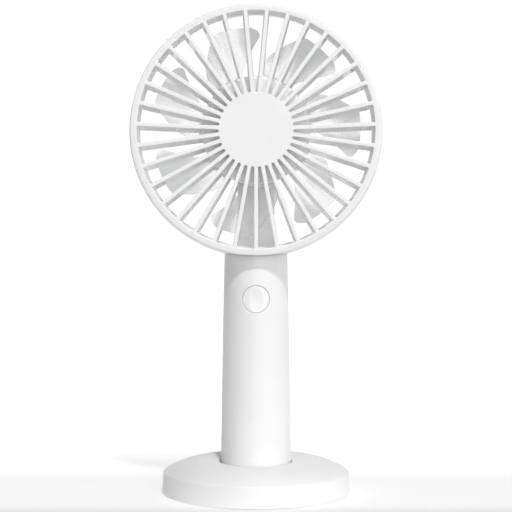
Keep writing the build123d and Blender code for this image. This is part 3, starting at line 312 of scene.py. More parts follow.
# Lump sizes of the noises, in millimetres
FLOW_MM = 14.0
SPECK_MM = 0.6
GRAIN_MM = 0.22
GLOSS_MM = 3.5
SINK_MM = 22.0
WEAR_PATCH_MM = 2.5
METAL_WEAR_PATCH_MM = 0.8
STREAK_BEND_MM = 30.0
BLADE_WAVE_MM = 12.0
BLADE_GRAIN_MM = 0.3
BLADE_GLOSS_MM = 4.0
CLOUD_MM = 2.5
TARNISH_MM = 1.2
TOOL_MARK_MM = 0.15
PIT_MM = 0.8
RUBBER_GLOSS_MM = 2.0
RUBBER_WAVE_MM = 6.0
# Tints, as shares of a slot's colour
FLOW_TINTS = (0.985, 1.01)
SPECK_TINT = 0.96
SPECK_AMOUNT = 0.35
MOULDED_WEAR = (0.5, 1.05)
BLADE_TINTS = (0.96, 1.04)
BLADE_WEAR = (0.4, 1.08)
METAL_TINTS = (0.86, 1.06)
METAL_WEAR = (0.7, 1.25)
# Painted shade in the rubber's sunk pores and painted light on its raised cells
RUBBER_PORE_SHADE_AND_LIGHT = (0.75, 1.2)
# How far the roughness strays below and above its middle
MOULDED_ROUGH_SPAN = (-0.05, 0.06)
BLADE_ROUGH_SPAN = (-0.05, 0.07)
METAL_ROUGH_SPAN = (-0.08, 0.1)
RUBBER_ROUGH_SPAN = (-0.08, 0.08)
# Bumps as depth in millimetres and strength
SINK_BUMP = (0.05, 0.25)
GRAIN_STRENGTH = 0.35
BLADE_WAVE_BUMP = (0.12, 0.3)
BLADE_GRAIN_BUMP = (0.008, 0.25)
TOOL_MARK_BUMP = (0.01, 0.4)
PIT_DEPTH_MM = 0.05
PIT_STRENGTH = 0.1
PORE_BUMP = (0.06, 0.5)
RUBBER_WAVE_BUMP = (0.1, 0.2)
# Where a noise's usual values, and a mesh edge's pointiness, begin and end
NOISE_RANGE = (0.3, 0.7)
SPECK_RANGE = (0.5, 0.75)
EDGE_POINTINESS = (0.505, 0.58)
LEAST_WEAR = 0.25
# Pale streaks of the milky blades
STREAKS_PER_RADIAN = 3.5
STREAK_BEND = 0.35
STREAK_RANGE = (0.46, 0.62)
STREAK_CLEARNESS = 0.9
ROOT_CLEARNESS = 0.7
ROOT_CLEAR_TO_R = 0.85 * BLADE_TIP_R
BLADE_START_W = 1.5
# Numbers of a mix node's colour sockets, whose names it shares with other kinds of socket
MIX_COLOURS = (6, 7)
MIX_RESULT = 2


class Nodes:
    """Short calls for one material's node tree."""

    def __init__(self, name):
        self.material = bpy.data.materials.new(name)
        self.material.use_nodes = True
        self.tree = self.material.node_tree
        self.shader = self.tree.nodes["Principled BSDF"]
        self.place = self.add("ShaderNodeTexCoord").outputs["Object"]

    def add(self, kind, **settings):
        """Adds one node of a kind and sets its properties."""
        node = self.tree.nodes.new(kind)
        for key, value in settings.items():
            setattr(node, key, value)
        return node

    def link(self, output, node, socket):
        self.tree.links.new(output, node.inputs[socket])

    def noise(self, grain_mm, detail=2.0, stretch=(1, 1, 1)):
        """Noise whose lumps are about grain_mm across, in object space."""
        mapping = self.add("ShaderNodeMapping")
        mapping.inputs["Scale"].default_value = stretch
        self.link(self.place, mapping, "Vector")
        noise = self.add("ShaderNodeTexNoise")
        noise.inputs["Scale"].default_value = 1 / (grain_mm * MM)
        noise.inputs["Detail"].default_value = detail
        self.link(mapping.outputs["Vector"], noise, "Vector")
        return noise.outputs["Fac"]

    def spread(self, source, low, high, from_low=NOISE_RANGE[0], from_high=NOISE_RANGE[1]):
        """Maps a range, a noise's usual one unless said, onto low to high."""
        spread = self.add("ShaderNodeMapRange")
        self.link(source, spread, "Value")
        spread.inputs["From Min"].default_value = from_low
        spread.inputs["From Max"].default_value = from_high
        spread.inputs["To Min"].default_value = low
        spread.inputs["To Max"].default_value = high
        return spread.outputs["Result"]

    def maths(self, operation, *terms):
        """One arithmetic node on sockets and plain numbers."""
        node = self.add("ShaderNodeMath", operation=operation)
        for number, term in enumerate(terms):
            if isinstance(term, (int, float)):
                node.inputs[number].default_value = term
            else:
                self.link(term, node, number)
        return node.outputs["Value"]

    def mix(self, factor, one, other):
        """Mixes two colours, each a socket or a plain colour, by a socket."""
        mix = self.add("ShaderNodeMix", data_type="RGBA")
        self.link(factor, mix, "Factor")
        for socket, colour in zip(MIX_COLOURS, (one, other)):
            if isinstance(colour, (tuple, list)):
                mix.inputs[socket].default_value = (*colour[:3], 1.0)
            else:
                self.tree.links.new(colour, mix.inputs[socket])
        return mix.outputs[MIX_RESULT]

    def worn_edges(self, amount, patch_mm=WEAR_PATCH_MM):
        """0 on open faces, up to amount along outer edges, broken up by patches."""
        geometry = self.add("ShaderNodeNewGeometry")
        edge = self.spread(geometry.outputs["Pointiness"], 0.0, amount, *EDGE_POINTINESS)
        patches = self.spread(self.noise(patch_mm), LEAST_WEAR, 1.0)
        return self.maths("MULTIPLY", edge, patches)

    def colour(self, tinted, colour, wear, patch_mm=WEAR_PATCH_MM):
        """Rubs the edges of a tinted surface paler, sets the result as its colour and returns it."""
        amount, worn_tint = wear
        worn = self.worn_edges(amount, patch_mm)
        finished = self.mix(worn, tinted, shade(colour, worn_tint))
        self.link(finished, self.shader, "Base Color")
        return finished

    def roughness(self, rough, rough_span, patch_mm, detail=4.0):
        """Lets the roughness stray round its middle in patches."""
        lowest, highest = rough + rough_span[0], rough + rough_span[1]
        gloss = self.spread(self.noise(patch_mm, detail), lowest, highest)
        self.link(gloss, self.shader, "Roughness")

    def bump(self, *layers):
        """Stacks (height socket, depth in mm, strength) layers into the shader's normal."""
        last = None
        for height, depth_mm, strength in layers:
            bump = self.add("ShaderNodeBump")
            bump.inputs["Strength"].default_value = strength
            bump.inputs["Distance"].default_value = depth_mm * MM
            self.link(height, bump, "Height")
            if last:
                self.link(last, bump, "Normal")
            last = bump.outputs["Normal"]
        self.link(last, self.shader, "Normal")


def shade(colour, factor):
    """A colour made lighter or darker."""
    return tuple(min(1.0, channel * factor) for channel in colour[:3])


def tints(colour, factors):
    """The same colour by each factor."""
    return [shade(colour, factor) for factor in factors]


def moulded(name, colour, rough=0.42, grain_depth=0.012, sheen=0.05):
    """Satin moulded plastic: spark-eroded grain, faint flow marks, rubbed edges."""
    nodes = Nodes(name)
    flow = nodes.spread(nodes.noise(FLOW_MM, 3.0), 0.0, 1.0)
    tinted = nodes.mix(flow, *tints(colour, FLOW_TINTS))
    speck = nodes.spread(nodes.noise(SPECK_MM, 4.0), 0.0, SPECK_AMOUNT, *SPECK_RANGE)
    tinted = nodes.mix(speck, tinted, shade(colour, SPECK_TINT))
    nodes.colour(tinted, colour, MOULDED_WEAR)
    nodes.roughness(rough, MOULDED_ROUGH_SPAN, GLOSS_MM)
    nodes.bump(
        (nodes.noise(SINK_MM, 1.0), *SINK_BUMP),
        (nodes.noise(GRAIN_MM, 2.0), grain_depth, GRAIN_STRENGTH),
    )
    nodes.shader.inputs["Sheen Weight"].default_value = sheen
    nodes.shader.inputs["Sheen Roughness"].default_value = 0.4
    nodes.shader.inputs["Specular IOR Level"].default_value = 0.45
    return nodes.material


def milky(name, colour, rough=0.24, through=0.7, least_clear=0.3, most_clear=0.88):
    """Thin milky plastic, solid at the hub; its blades are clearer at their roots and along streaks."""
    nodes = Nodes(name)
    split = nodes.add("ShaderNodeSeparateXYZ")
    nodes.link(nodes.place, split, "Vector")
    rise = nodes.maths("SUBTRACT", split.outputs["Z"], HEAD_Z * MM)
    spokes = nodes.add("ShaderNodeCombineXYZ")
    nodes.link(nodes.maths("ARCTAN2", split.outputs["X"], rise), spokes, "X")
    nodes.link(nodes.spread(nodes.noise(STREAK_BEND_MM, 1.0), 0.0, STREAK_BEND), spokes, "Y")
    streaks = nodes.add("ShaderNodeTexNoise")
    streaks.inputs["Scale"].default_value = STREAKS_PER_RADIAN
    streaks.inputs["Detail"].default_value = 1.0
    nodes.link(spokes.outputs["Vector"], streaks, "Vector")
    pale = nodes.spread(streaks.outputs["Fac"], 0.0, STREAK_CLEARNESS, *STREAK_RANGE)
    flat = nodes.add("ShaderNodeCombineXYZ")
    nodes.link(split.outputs["X"], flat, "X")
    nodes.link(rise, flat, "Y")
    length = nodes.add("ShaderNodeVectorMath", operation="LENGTH")
    nodes.link(flat.outputs["Vector"], length, 0)
    radius = length.outputs["Value"]
    inner = nodes.spread(radius, ROOT_CLEARNESS, 0.0, HUB_R * MM, ROOT_CLEAR_TO_R * MM)
    clearness = nodes.spread(nodes.maths("ADD", pale, inner), least_clear, most_clear, 0.0, 1.0)
    on_blade = nodes.spread(radius, 0.0, 1.0, HUB_R * MM, (HUB_R + BLADE_START_W) * MM)
    finished = nodes.colour(nodes.mix(pale, *tints(colour, BLADE_TINTS)), colour, BLADE_WEAR)
    nodes.roughness(rough, BLADE_ROUGH_SPAN, BLADE_GLOSS_MM, detail=3.0)
    nodes.bump(
        (nodes.noise(BLADE_WAVE_MM, 1.0), *BLADE_WAVE_BUMP),
        (nodes.noise(BLADE_GRAIN_MM, 2.0), *BLADE_GRAIN_BUMP),
    )
    translucent = nodes.add("ShaderNodeBsdfTranslucent")
    nodes.link(finished, translucent, "Color")
    frosted = nodes.add("ShaderNodeMixShader")
    nodes.link(nodes.maths("MULTIPLY", on_blade, through), frosted, "Fac")
    nodes.link(nodes.shader.outputs["BSDF"], frosted, 1)
    nodes.link(translucent.outputs["BSDF"], frosted, 2)
    clear = nodes.add("ShaderNodeBsdfTransparent")
    blend = nodes.add("ShaderNodeMixShader")
    nodes.link(nodes.maths("MULTIPLY", clearness, on_blade), blend, "Fac")
    nodes.link(frosted.outputs["Shader"], blend, 1)
    nodes.link(clear.outputs["BSDF"], blend, 2)
    nodes.link(blend.outputs["Shader"], nodes.tree.nodes["Material Output"], "Surface")
    return nodes.material


def metal(name, colour, rough=0.3, brushed=(1, 1, 1), metallic=1.0, pitted=0.0):
    """Plated, ground, painted or cast metal with fine tool marks."""
    nodes = Nodes(name)
    clouds = nodes.spread(nodes.noise(CLOUD_MM, 4.0), 0.0, 1.0)
    tinted = nodes.mix(clouds, *tints(colour, METAL_TINTS))
    nodes.colour(tinted, colour, METAL_WEAR, METAL_WEAR_PATCH_MM)
    nodes.roughness(rough, METAL_ROUGH_SPAN, TARNISH_MM)
    nodes.bump(
        (nodes.noise(TOOL_MARK_MM, 2.0, brushed), *TOOL_MARK_BUMP),
        (nodes.noise(PIT_MM, 4.0), PIT_DEPTH_MM, PIT_STRENGTH + pitted),
    )
    nodes.shader.inputs["Metallic"].default_value = metallic
    return nodes.material


def rubber(name, colour, rough=0.75, cell_mm=0.35):
    """Foam or soft rubber with open pores, darker where they sink and paler on the cells: painted shade and light.
    """
    nodes = Nodes(name)
    pores = nodes.spread(nodes.noise(cell_mm, 3.0), 0.0, 1.0)
    nodes.link(nodes.mix(pores, *tints(colour, RUBBER_PORE_SHADE_AND_LIGHT)), nodes.shader, "Base Color")
    nodes.roughness(rough, RUBBER_ROUGH_SPAN, RUBBER_GLOSS_MM, detail=3.0)
    nodes.bump((pores, *PORE_BUMP), (nodes.noise(RUBBER_WAVE_MM), *RUBBER_WAVE_BUMP))
    nodes.shader.inputs["Sheen Weight"].default_value = 0.2
    return nodes.material


FINISHES = {
    "matte_plastic": lambda name, colour: moulded(name, colour, rough=0.5),
    "gloss_plastic": lambda name, colour: moulded(name, colour, rough=0.22, grain_depth=0.004),
    "rubber": rubber,
    "brushed_steel": lambda name, colour: metal(name, colour, 0.28, brushed=(1, 6, 1)),
    "brass": lambda name, colour: metal(name, colour, 0.25, brushed=(6, 1, 6)),
    "painted_metal": lambda name, colour: metal(name, colour, 0.45, metallic=0.2),
    "cast_iron": lambda name, colour: metal(name, colour, 0.6, metallic=0.6, pitted=0.5),
}
SPECIAL = {
    "white_shell": lambda name, colour: moulded(name, colour, rough=0.42, sheen=0.08),
    "grille_white": lambda name, colour: moulded(name, colour, rough=0.38, grain_depth=0.008),
    "button_white": lambda name, colour: moulded(name, colour, rough=0.34, grain_depth=0.006),
    "blade_white": milky,
}
COLOURS = {
    "white_shell": (0.86, 0.86, 0.862),
    "grille_white": (0.87, 0.87, 0.872),
    "button_white": (0.88, 0.88, 0.88),
    "blade_white": (0.93, 0.935, 0.94),
}

finish = {}
for entry in frame["record"]["materials"]:
    slot_name = entry["slot"]
    make = SPECIAL.get(slot_name) or FINISHES[entry["class"]]
    finish[slot_name] = make(slot_name, COLOURS.get(slot_name, entry["base_color"]))
for entry in frame["record"]["subparts"]:
    node = frame["nodes"][entry["node"]]
    node.data.materials.clear()
    node.data.materials.append(finish[entry["material_slot"]])


# ---------------------------------------------------------------- front grille

SLOT_CORNER_STEPS = 6
SLOT_OUTER_STEPS = 8
SLOT_INNER_STEPS = 14
RING_EDGE_STEPS = 8


def slot_outline(inset):
    """One opening of the grille, pointing up, with its edges moved in by the inset."""
    half_rib = FRONT_RIB_W / 2 + inset
    along = Vector((cos(RIB_HALF_ANGLE), sin(RIB_HALF_ANGLE)))
    across = Vector((sin(RIB_HALF_ANGLE), -cos(RIB_HALF_ANGLE)))
    opening_r = OPENING_R - inset
    corner_r = SLOT_CORNER_R - inset
    reach = sqrt((opening_r - corner_r) ** 2 - (half_rib + corner_r) ** 2)
    corner = along * reach + across * (half_rib + corner_r)
    end_r = SLOT_END_X * sin(RIB_HALF_ANGLE) - half_rib
    line_angle = pi / 2 + RIB_HALF_ANGLE
    corner_angle = atan2(corner.y, corner.x)
    upper = arc(corner, corner_r, line_angle, corner_angle, SLOT_CORNER_STEPS)
    outer = arc((0, 0), opening_r, corner_angle, -corner_angle, SLOT_OUTER_STEPS)[1:-1]
    lower = arc((corner.x, -corner.y), corner_r, -corner_angle, -line_angle, SLOT_CORNER_STEPS)
    inner = arc((SLOT_END_X, 0), end_r, TURN - line_angle, line_angle, SLOT_INNER_STEPS)
    return upper + outer + lower + inner


def make_front_grille():
    """Flat guard with its slots cut through, its ring and the lip that fits into the housing."""
    surface = Surface()
    back_y = FRONT_Y + GRILLE_T
    levels = [(FRONT_Y + depth, -inset) for inset, depth in edge_steps(FRONT_RIB_EDGE)]
    levels += [(back_y - depth, -inset) for inset, depth in reversed(edge_steps(FRONT_RIB_EDGE))]
    front_holes, back_holes = [], []
    for slot in range(RIB_COUNT):
        turn = TURN * slot / RIB_COUNT
        loops = []
        for depth, inset in levels:
            points = [
                (u * sin(turn) - v * cos(turn), depth, HEAD_Z + u * cos(turn) + v * sin(turn))
                for u, v in slot_outline(inset)
            ]
            loops.append(surface.loop(points))
        surface.skin(loops)
        front_holes.append(loops[0])
        back_holes.append(loops[-1])
    ring_back_y = FRONT_Y + RING_DEPTH
    slope = atan2(RING_SLOPE_T, RING_R - RING_FLAT_R)
    edge_y = FRONT_Y + RING_SLOPE_T + RING_EDGE_R * (1 / cos(slope) - tan(slope))
    edge = arc((edge_y, RING_R - RING_EDGE_R), RING_EDGE_R, pi - slope, pi / 2, RING_EDGE_STEPS)
    profile = [
        (FRONT_Y, RING_FLAT_R - RING_GROOVE_W),
        (FRONT_Y + RING_GROOVE_DEPTH, RING_FLAT_R - RING_GROOVE_W / 2),
        (FRONT_Y, RING_FLAT_R),
        *edge,
        (ring_back_y - LIP_EDGE_R, RING_R),
        (ring_back_y - LIP_EDGE_MID, RING_R - LIP_EDGE_MID),
        (ring_back_y, RING_R - LIP_EDGE_R),
        (ring_back_y, LIP_R),
        (LIP_BACK_Y - LIP_EDGE_R, LIP_R),
        (LIP_BACK_Y, LIP_R - LIP_EDGE_R),
        (LIP_BACK_Y, OPENING_R),
        (LIP_BACK_Y - LIP_EDGE_R, OPENING_R - LIP_EDGE_R),
        (back_y, TUNNEL_R),
    ]
    steps = RING_STEPS_PER_RIB * RIB_COUNT
    rings = [
        surface.loop([around_head(along, radius, TURN * step / steps) for step in range(steps)])
        for along, radius in profile
    ]
    surface.skin(rings)
    surface.cap(rings[0], *front_holes)
    surface.cap(rings[-1], *back_holes)
    piece(
        "front_grille_moulding", surface, "fan", finish["grille_white"],
        replaces=("front_grille",),
    )


make_front_grille()


# ---------------------------------------------------------------- handle

COLUMNS = 192
ROW_STEP = 0.47
PATCH_BELOW_BUTTON = 8.0
PATCH_LOW_Z = BUTTON_Z - PATCH_BELOW_BUTTON
PATCH_ROWS = 34
PATCH_HIGH_Z = PATCH_LOW_Z + PATCH_ROWS * ROW_STEP
BUTTON_COLUMNS = 18
SLOT_COLUMNS = 13
SLOT_ROWS = 7
SLOT_MARGIN_ROWS = 2
SLOT_PATCH_ROWS = SLOT_ROWS + 2 * SLOT_MARGIN_ROWS
LOW_ROW_STEPS = 3
BRIDGE_STEPS = 5
HALVINGS = 30
SADDLE_PASSES = 4
FOOT_EDGE_STEPS = 8


def handle_radius(height):
    """Outer radius of the handle at a height."""
    rise = height - HANDLE_FOOT_Z
    return HANDLE_FOOT_R - HANDLE_SLOPE * rise - HANDLE_CURVE * rise**2


def band_radius(depth):
    """Outer radius of the head's band at a depth, with the handle's gap added."""
    slope = (BAND_BACK_R - BAND_FRONT_R) / (BAND_BACK_Y - BAND_FRONT_Y)
    return BAND_BACK_R + SADDLE_GAP + slope * min(0.0, depth - BAND_BACK_Y)


def saddle_height(turn, inset):
    """Height at which the handle's side meets the head's band, found by repeated correction."""
    height = HEAD_Z - BAND_BACK_R
    for _ in range(SADDLE_PASSES):
        x, y, _z = around_handle(height, handle_radius(height) - inset, turn)
        height = HEAD_Z - sqrt(band_radius(y) ** 2 - x**2)
    return height


def wall_point(x, height, inset, facing):
    """Point of the handle's side at a given x; facing is 1 at the front and -1 at the back."""
    radius = handle_radius(height) - inset
    return (x, -facing * sqrt(radius**2 - x**2), height)


def rounded_box_distance(x, z, half_w, half_h, corner_r):
    """Distance to a rounded box's outline, negative inside it."""
    across, up = abs(x) - half_w + corner_r, abs(z) - half_h + corner_r
    return hypot(max(across, 0.0), max(up, 0.0)) + min(max(across, up), 0.0) - corner_r


def hole_outline(bounds, distance, growth):
    """Points on a hole's outline, moved out by growth, in the directions of the bounds."""
    outline = []
    for x, z in bounds:
        low, high = 0.0, 1.0
        for _ in range(HALVINGS):
            middle = (low + high) / 2
            if distance(x * middle, z * middle) < growth:
                low = middle
            else:
                high = middle
        outline.append((x * low, z * low))
    return outline


def make_handle():
    """Tapered tube with a saddle for the head, a ledged hole for the button and the charging slot."""
    surface = Surface()
    straight_rows = ceil((PATCH_LOW_Z - HANDLE_FOOT_Z - HANDLE_EDGE_R) / (LOW_ROW_STEPS * ROW_STEP))
    top_rows = ceil((HEAD_Z - BAND_BACK_R - PATCH_HIGH_Z) / ROW_STEP)
    low_z = HANDLE_FOOT_Z + HANDLE_EDGE_R
    heights = [low_z + (PATCH_LOW_Z - low_z) * row / straight_rows for row in range(straight_rows)]
    first_patch_row = len(heights)
    heights += [PATCH_LOW_Z + ROW_STEP * row for row in range(PATCH_ROWS + 1)]
    slot_first_row = first_patch_row + round((SLOT_Z - PATCH_LOW_Z) / ROW_STEP - SLOT_ROWS / 2)
    slot_first_row -= SLOT_MARGIN_ROWS
    button_first_row = first_patch_row + round((BUTTON_Z - PATCH_LOW_Z) / ROW_STEP - PATCH_ROWS / 2)
    # facing, centre height, first row, rows, half columns, ledge width, distance to the outline
    holes = [
        (
            1, BUTTON_Z, button_first_row, PATCH_ROWS, BUTTON_COLUMNS, BUTTON_HOLE_R - BUTTON_LEDGE_R,
            lambda x, z: hypot(x, z) - BUTTON_HOLE_R,
        ),
        (
            -1, SLOT_Z, slot_first_row, SLOT_PATCH_ROWS, SLOT_COLUMNS, 0.0,
            lambda x, z: rounded_box_distance(x, z, SLOT_HALF_W, SLOT_HALF_H, SLOT_R),
        ),
    ]

    def side(inset, lip):
        """One skin of the handle with its two holes; gives its bottom row, top row and hole rims."""
        grid = [
            surface.loop([
                around_handle(height, handle_radius(height) - inset, TURN * column / COLUMNS)
                for column in range(COLUMNS)
            ])
            for height in heights
        ]
        for row in range(1, top_rows + 1):
            share = row / top_rows
            ring = []
            for column in range(COLUMNS):
                turn = TURN * column / COLUMNS
                crest = saddle_height(turn, inset)
                height = PATCH_HIGH_Z + (crest - lip - PATCH_HIGH_Z) * share
                ring.append(around_handle(height, handle_radius(height) - inset, turn))
            grid.append(surface.loop(ring))
        skipped = set()
        rims = []
        for facing, centre_z, first_row, rows, half_columns, ledge, distance in holes:
            middle = 0 if facing == 1 else COLUMNS // 2
            columns = [(middle + step) % COLUMNS for step in range(-half_columns, half_columns + 1)]
            patch_rows = range(first_row, first_row + rows)
            skipped |= {(row, column) for row in patch_rows for column in columns[:-1]}
            border = [grid[first_row][column] for column in columns[:-1]]
            border += [grid[row][columns[-1]] for row in patch_rows]
            border += [grid[first_row + rows][column] for column in reversed(columns[1:])]
            border += [grid[row][columns[0]] for row in range(first_row + rows, first_row, -1)]
            flat = [(surface.points[number][0], surface.points[number][2] - centre_z) for number in border]
            rim = hole_outline(flat, distance, lip or -ledge)
            loops = [border]
            for step in range(1, BRIDGE_STEPS + 1):
                share = step / BRIDGE_STEPS
                loops.append(surface.loop([
                    wall_point(
                        far[0] + (near[0] - far[0]) * share,
                        centre_z + far[1] + (near[1] - far[1]) * share,
                        inset, facing,
                    )
                    for far, near in zip(flat, rim)
                ]))
            if lip:
                for growth, depth in edge_steps(lip)[1:]:
                    loops.append(surface.loop([
                        wall_point(x, centre_z + z, inset + depth, facing)
                        for x, z in hole_outline(flat, distance, growth)
                    ]))
            if lip and ledge:
                for growth, depth in ((0.0, BUTTON_LEDGE_DEPTH), (-ledge, BUTTON_LEDGE_DEPTH)):
                    loops.append(surface.loop([
                        wall_point(x, centre_z + z, inset + depth, facing)
                        for x, z in hole_outline(flat, distance, growth)
                    ]))
            surface.skin(loops)
            rims.append(loops[-1])
        for row in range(len(grid) - 1):
            for column in range(COLUMNS):
                if (row, column) not in skipped:
                    beside = (column + 1) % COLUMNS
                    surface.faces.append(
                        (grid[row][column], grid[row][beside], grid[row + 1][beside], grid[row + 1][column])
                    )
        return grid[0], grid[-1], rims

    outer_foot, outer_top, outer_rims = side(0.0, LIP_EDGE)
    inner_foot, inner_top, inner_rims = side(HANDLE_WALL, 0.0)
    for outer_rim, inner_rim in zip(outer_rims, inner_rims):
        surface.bridge(outer_rim, inner_rim)
    foot = [outer_foot]
    for inset, depth in reversed(edge_steps(HANDLE_EDGE_R, FOOT_EDGE_STEPS)[:-1]):
        radius = handle_radius(HANDLE_FOOT_Z) - inset
        foot.append(surface.loop([
            around_handle(HANDLE_FOOT_Z + depth, radius, TURN * column / COLUMNS) for column in range(COLUMNS)
        ]))
    foot.append(surface.loop([
        around_handle(HANDLE_FOOT_Z, handle_radius(HANDLE_FOOT_Z) - HANDLE_WALL, TURN * column / COLUMNS)
        for column in range(COLUMNS)
    ]))
    surface.skin([*foot, inner_foot])
    top = [outer_top]
    for inset, depth in reversed(edge_steps(LIP_EDGE)[:-1]):
        ring = []
        for column in range(COLUMNS):
            turn = TURN * column / COLUMNS
            height = saddle_height(turn, inset) - depth
            ring.append(around_handle(height, handle_radius(height) - inset, turn))
        top.append(surface.loop(ring))
    surface.skin([*top, inner_top])
    piece(
        "handle_moulding", surface, "fan", finish["white_shell"], replaces=("handle_shell",)
    )


make_handle()


# ---------------------------------------------------------------- button

BUTTON_STEPS = 96
BUTTON_RINGS = 14
BUTTON_EDGE_STEPS = 6
DISH_SOFTNESS = 0.05


def make_button():
    """Round cap: dished face on the handle's curve, a flange inside the handle's wall, skirt and nub."""
    surface = Surface()
    face_back_y = -handle_radius(BUTTON_Z) + BUTTON_FACE_T
    flange_front_r = handle_radius(BUTTON_Z) - HANDLE_WALL - BUTTON_FLANGE_GAP
    sphere_y = -handle_radius(BUTTON_Z) + BUTTON_INSET + DISH_DEPTH - DISH_R

    def face_y(x, z):
        curve_y = -sqrt((handle_radius(BUTTON_Z + z) - BUTTON_INSET) ** 2 - x**2)
        dish_y = sphere_y + sqrt(DISH_R**2 - x**2 - z**2)
        return (curve_y + dish_y + sqrt((curve_y - dish_y) ** 2 + DISH_SOFTNESS**2)) / 2

    def ring(radius, sink=0.0, depth_at=face_y):
        points = []
        for step in range(BUTTON_STEPS):
            turn = TURN * step / BUTTON_STEPS
            x, z = radius * sin(turn), radius * cos(turn)
            points.append((x, depth_at(x, z) + sink, BUTTON_Z + z))
        return surface.loop(points)

    def flange_front(x, _z):
        return -sqrt(flange_front_r**2 - x**2)

    def flange_back(x, _z):
        return -sqrt((flange_front_r - BUTTON_FLANGE_T) ** 2 - x**2)

    def skirt_end(x, z):
        return max(BUTTON_SKIRT_Y, flange_back(x, z) + BUTTON_FLANGE_STEP)

    def face_back(_x, _z):
        return face_back_y

    def nub_end(_x, _z):
        return BUTTON_NUB_END_Y

    reach = BUTTON_R - BUTTON_EDGE_R
    rings = [ring(reach * step / BUTTON_RINGS) for step in range(1, BUTTON_RINGS + 1)]
    rings += [
        ring(BUTTON_R - inset, depth)
        for inset, depth in edge_steps(BUTTON_EDGE_R, BUTTON_EDGE_STEPS)[1:]
    ]
    flange_r = BUTTON_R + BUTTON_FLANGE_W
    inside_r = BUTTON_R - BUTTON_WALL
    rings += [
        ring(radius, depth_at=depth_at)
        for radius, depth_at in (
            (BUTTON_R, flange_front), (flange_r, flange_front), (flange_r, flange_back),
            (BUTTON_R, flange_back), (BUTTON_R, skirt_end), (inside_r, skirt_end),
            (inside_r, face_back), (BUTTON_NUB_R, face_back), (BUTTON_NUB_R, nub_end),
        )
    ]
    surface.skin(rings)
    surface.pole(rings[0], (0.0, face_y(0.0, 0.0), BUTTON_Z))
    surface.pole(rings[-1], (0.0, BUTTON_NUB_END_Y, BUTTON_Z))
    piece(
        "button_moulding", surface, "button", finish["button_white"],
        replaces=("button_cap",),
    )


make_button()


# ---------------------------------------------------------------- desk base


def three_point_arc(first, middle, last, steps):
    """Points on the circle through three points."""
    ax, ay = first
    bx, by = middle
    cx, cy = last
    area = 2 * (ax * (by - cy) + bx * (cy - ay) + cx * (ay - by))
    one, two, three = ax**2 + ay**2, bx**2 + by**2, cx**2 + cy**2
    centre = (
        (one * (by - cy) + two * (cy - ay) + three * (ay - by)) / area,
        (one * (cx - bx) + two * (ax - cx) + three * (bx - ax)) / area,
    )
    start = atan2(ay - centre[1], ax - centre[0])
    sweep = (atan2(cy - centre[1], cx - centre[0]) - start + pi) % TURN - pi
    return arc(centre, hypot(ax - centre[0], ay - centre[1]), start, start + sweep, steps)


DOME_STEPS = 24
UNDERSIDE_STEPS = 12
CORNER_STEPS = 8
BASE_STEPS = 256


def make_base():
    """One moulding: drafted wall, a top that dips to the handle, and the socket cup that takes it."""
    surface = Surface()
    crown = three_point_arc(
        (SOCKET_R, BASE_CROWN_Z), (BASE_DOME_R, BASE_DOME_Z), (BASE_TOP_R, BASE_RIM_Z), DOME_STEPS
    )
    under = three_point_arc(
        (BASE_TOP_R - BASE_WALL, BASE_RIM_Z - BASE_ROOF_T),
        (BASE_DOME_R, BASE_DOME_Z - BASE_ROOF_T),
        (SOCKET_R + BASE_WALL, BASE_CROWN_Z - BASE_ROOF_T),
        UNDERSIDE_STEPS,
    )
    cup_z = SOCKET_FLOOR_Z - SOCKET_FLOOR_T
    # Corners as (radius, height, rounding); the dome's first and last points give way to its edges
    corners = [(SOCKET_R, BASE_CROWN_Z, BASE_EDGE_R)]
    corners += [(radius, height, 0) for radius, height in crown[2:-2]]
    corners += [(BASE_TOP_R, BASE_RIM_Z, BASE_EDGE_R), (BASE_R, BASE_LIFT, BASE_FOOT_EDGE_R)]
    corners += [(BASE_R - BASE_WALL, BASE_LIFT, BASE_FOOT_EDGE_R)]
    corners += [(radius, height, 0) for radius, height in under]
    corners += [(SOCKET_R + BASE_WALL, cup_z, 0), (0, cup_z, 0), (0, SOCKET_FLOOR_Z, 0)]
    corners += [(SOCKET_R, SOCKET_FLOOR_Z, BASE_FOOT_EDGE_R)]
    profile = [(height, radius) for radius, height in rounded(corners, CORNER_STEPS)]
    lathe(surface, profile, around_handle, BASE_STEPS)
    piece(
        "base_moulding", surface, "base", finish["white_shell"], replaces=("base_cover",)
    )


make_base()


# ---------------------------------------------------------------- rotor

# (radius, degrees clockwise) along the edges; (radius, pitch in degrees, sideways offset) between them
BLADE_LEADING = ((21.6, -16.5), (25.3, -15.5), (29.5, -11.0), (35.4, -5.0), (40.6, -0.4))
BLADE_TRAILING = ((21.6, -50.5), (29.5, -46.0), (35.8, -37.5), (42.6, -28.0))
BLADE_TWIST = ((15.0, 46.0, -5.6), (23.0, 41.0, -4.0), (34.0, 30.0, 0.8), (47.0, 21.0, 7.2))
# How far each edge swings in over the rounded tip, in degrees, and over which width
LEADING_TIP_TURN = 5.4
LEADING_TIP_W = 3.6
TRAILING_TIP_TURN = 3.4
TRAILING_TIP_W = 1.6
BLADE_ROOT_DEPTH = 1.0
BLADE_CHORD = 24.0
BLADE_ROWS = 30
BLADE_COLUMNS = 22
# Places near an edge, as shares of the half thickness, that round it
EDGE_SHARES = (0.0, 0.12, 0.45, 1.0)
BLADE_SHARP_ANGLE = 40.0


def smooth_value(table, where, column):
    """Value of a table's column at a place along its first column, on a smooth curve."""
    last = len(table) - 2
    here = max(0, min(last, sum(1 for row in table[1:-1] if row[0] <= where)))
    (low, high) = table[here], table[here + 1]
    width = high[0] - low[0]

    def slope(row):
        before, after = table[max(0, row - 1)], table[min(len(table) - 1, row + 1)]
        return (after[column] - before[column]) / (after[0] - before[0]) * width

    share = (where - low[0]) / width
    square, cube = share**2, share**3
    return (
        (2 * cube - 3 * square + 1) * low[column]
        + (cube - 2 * square + share) * slope(here)
        + (3 * square - 2 * cube) * high[column]
        + (cube - square) * slope(here + 1)
    )


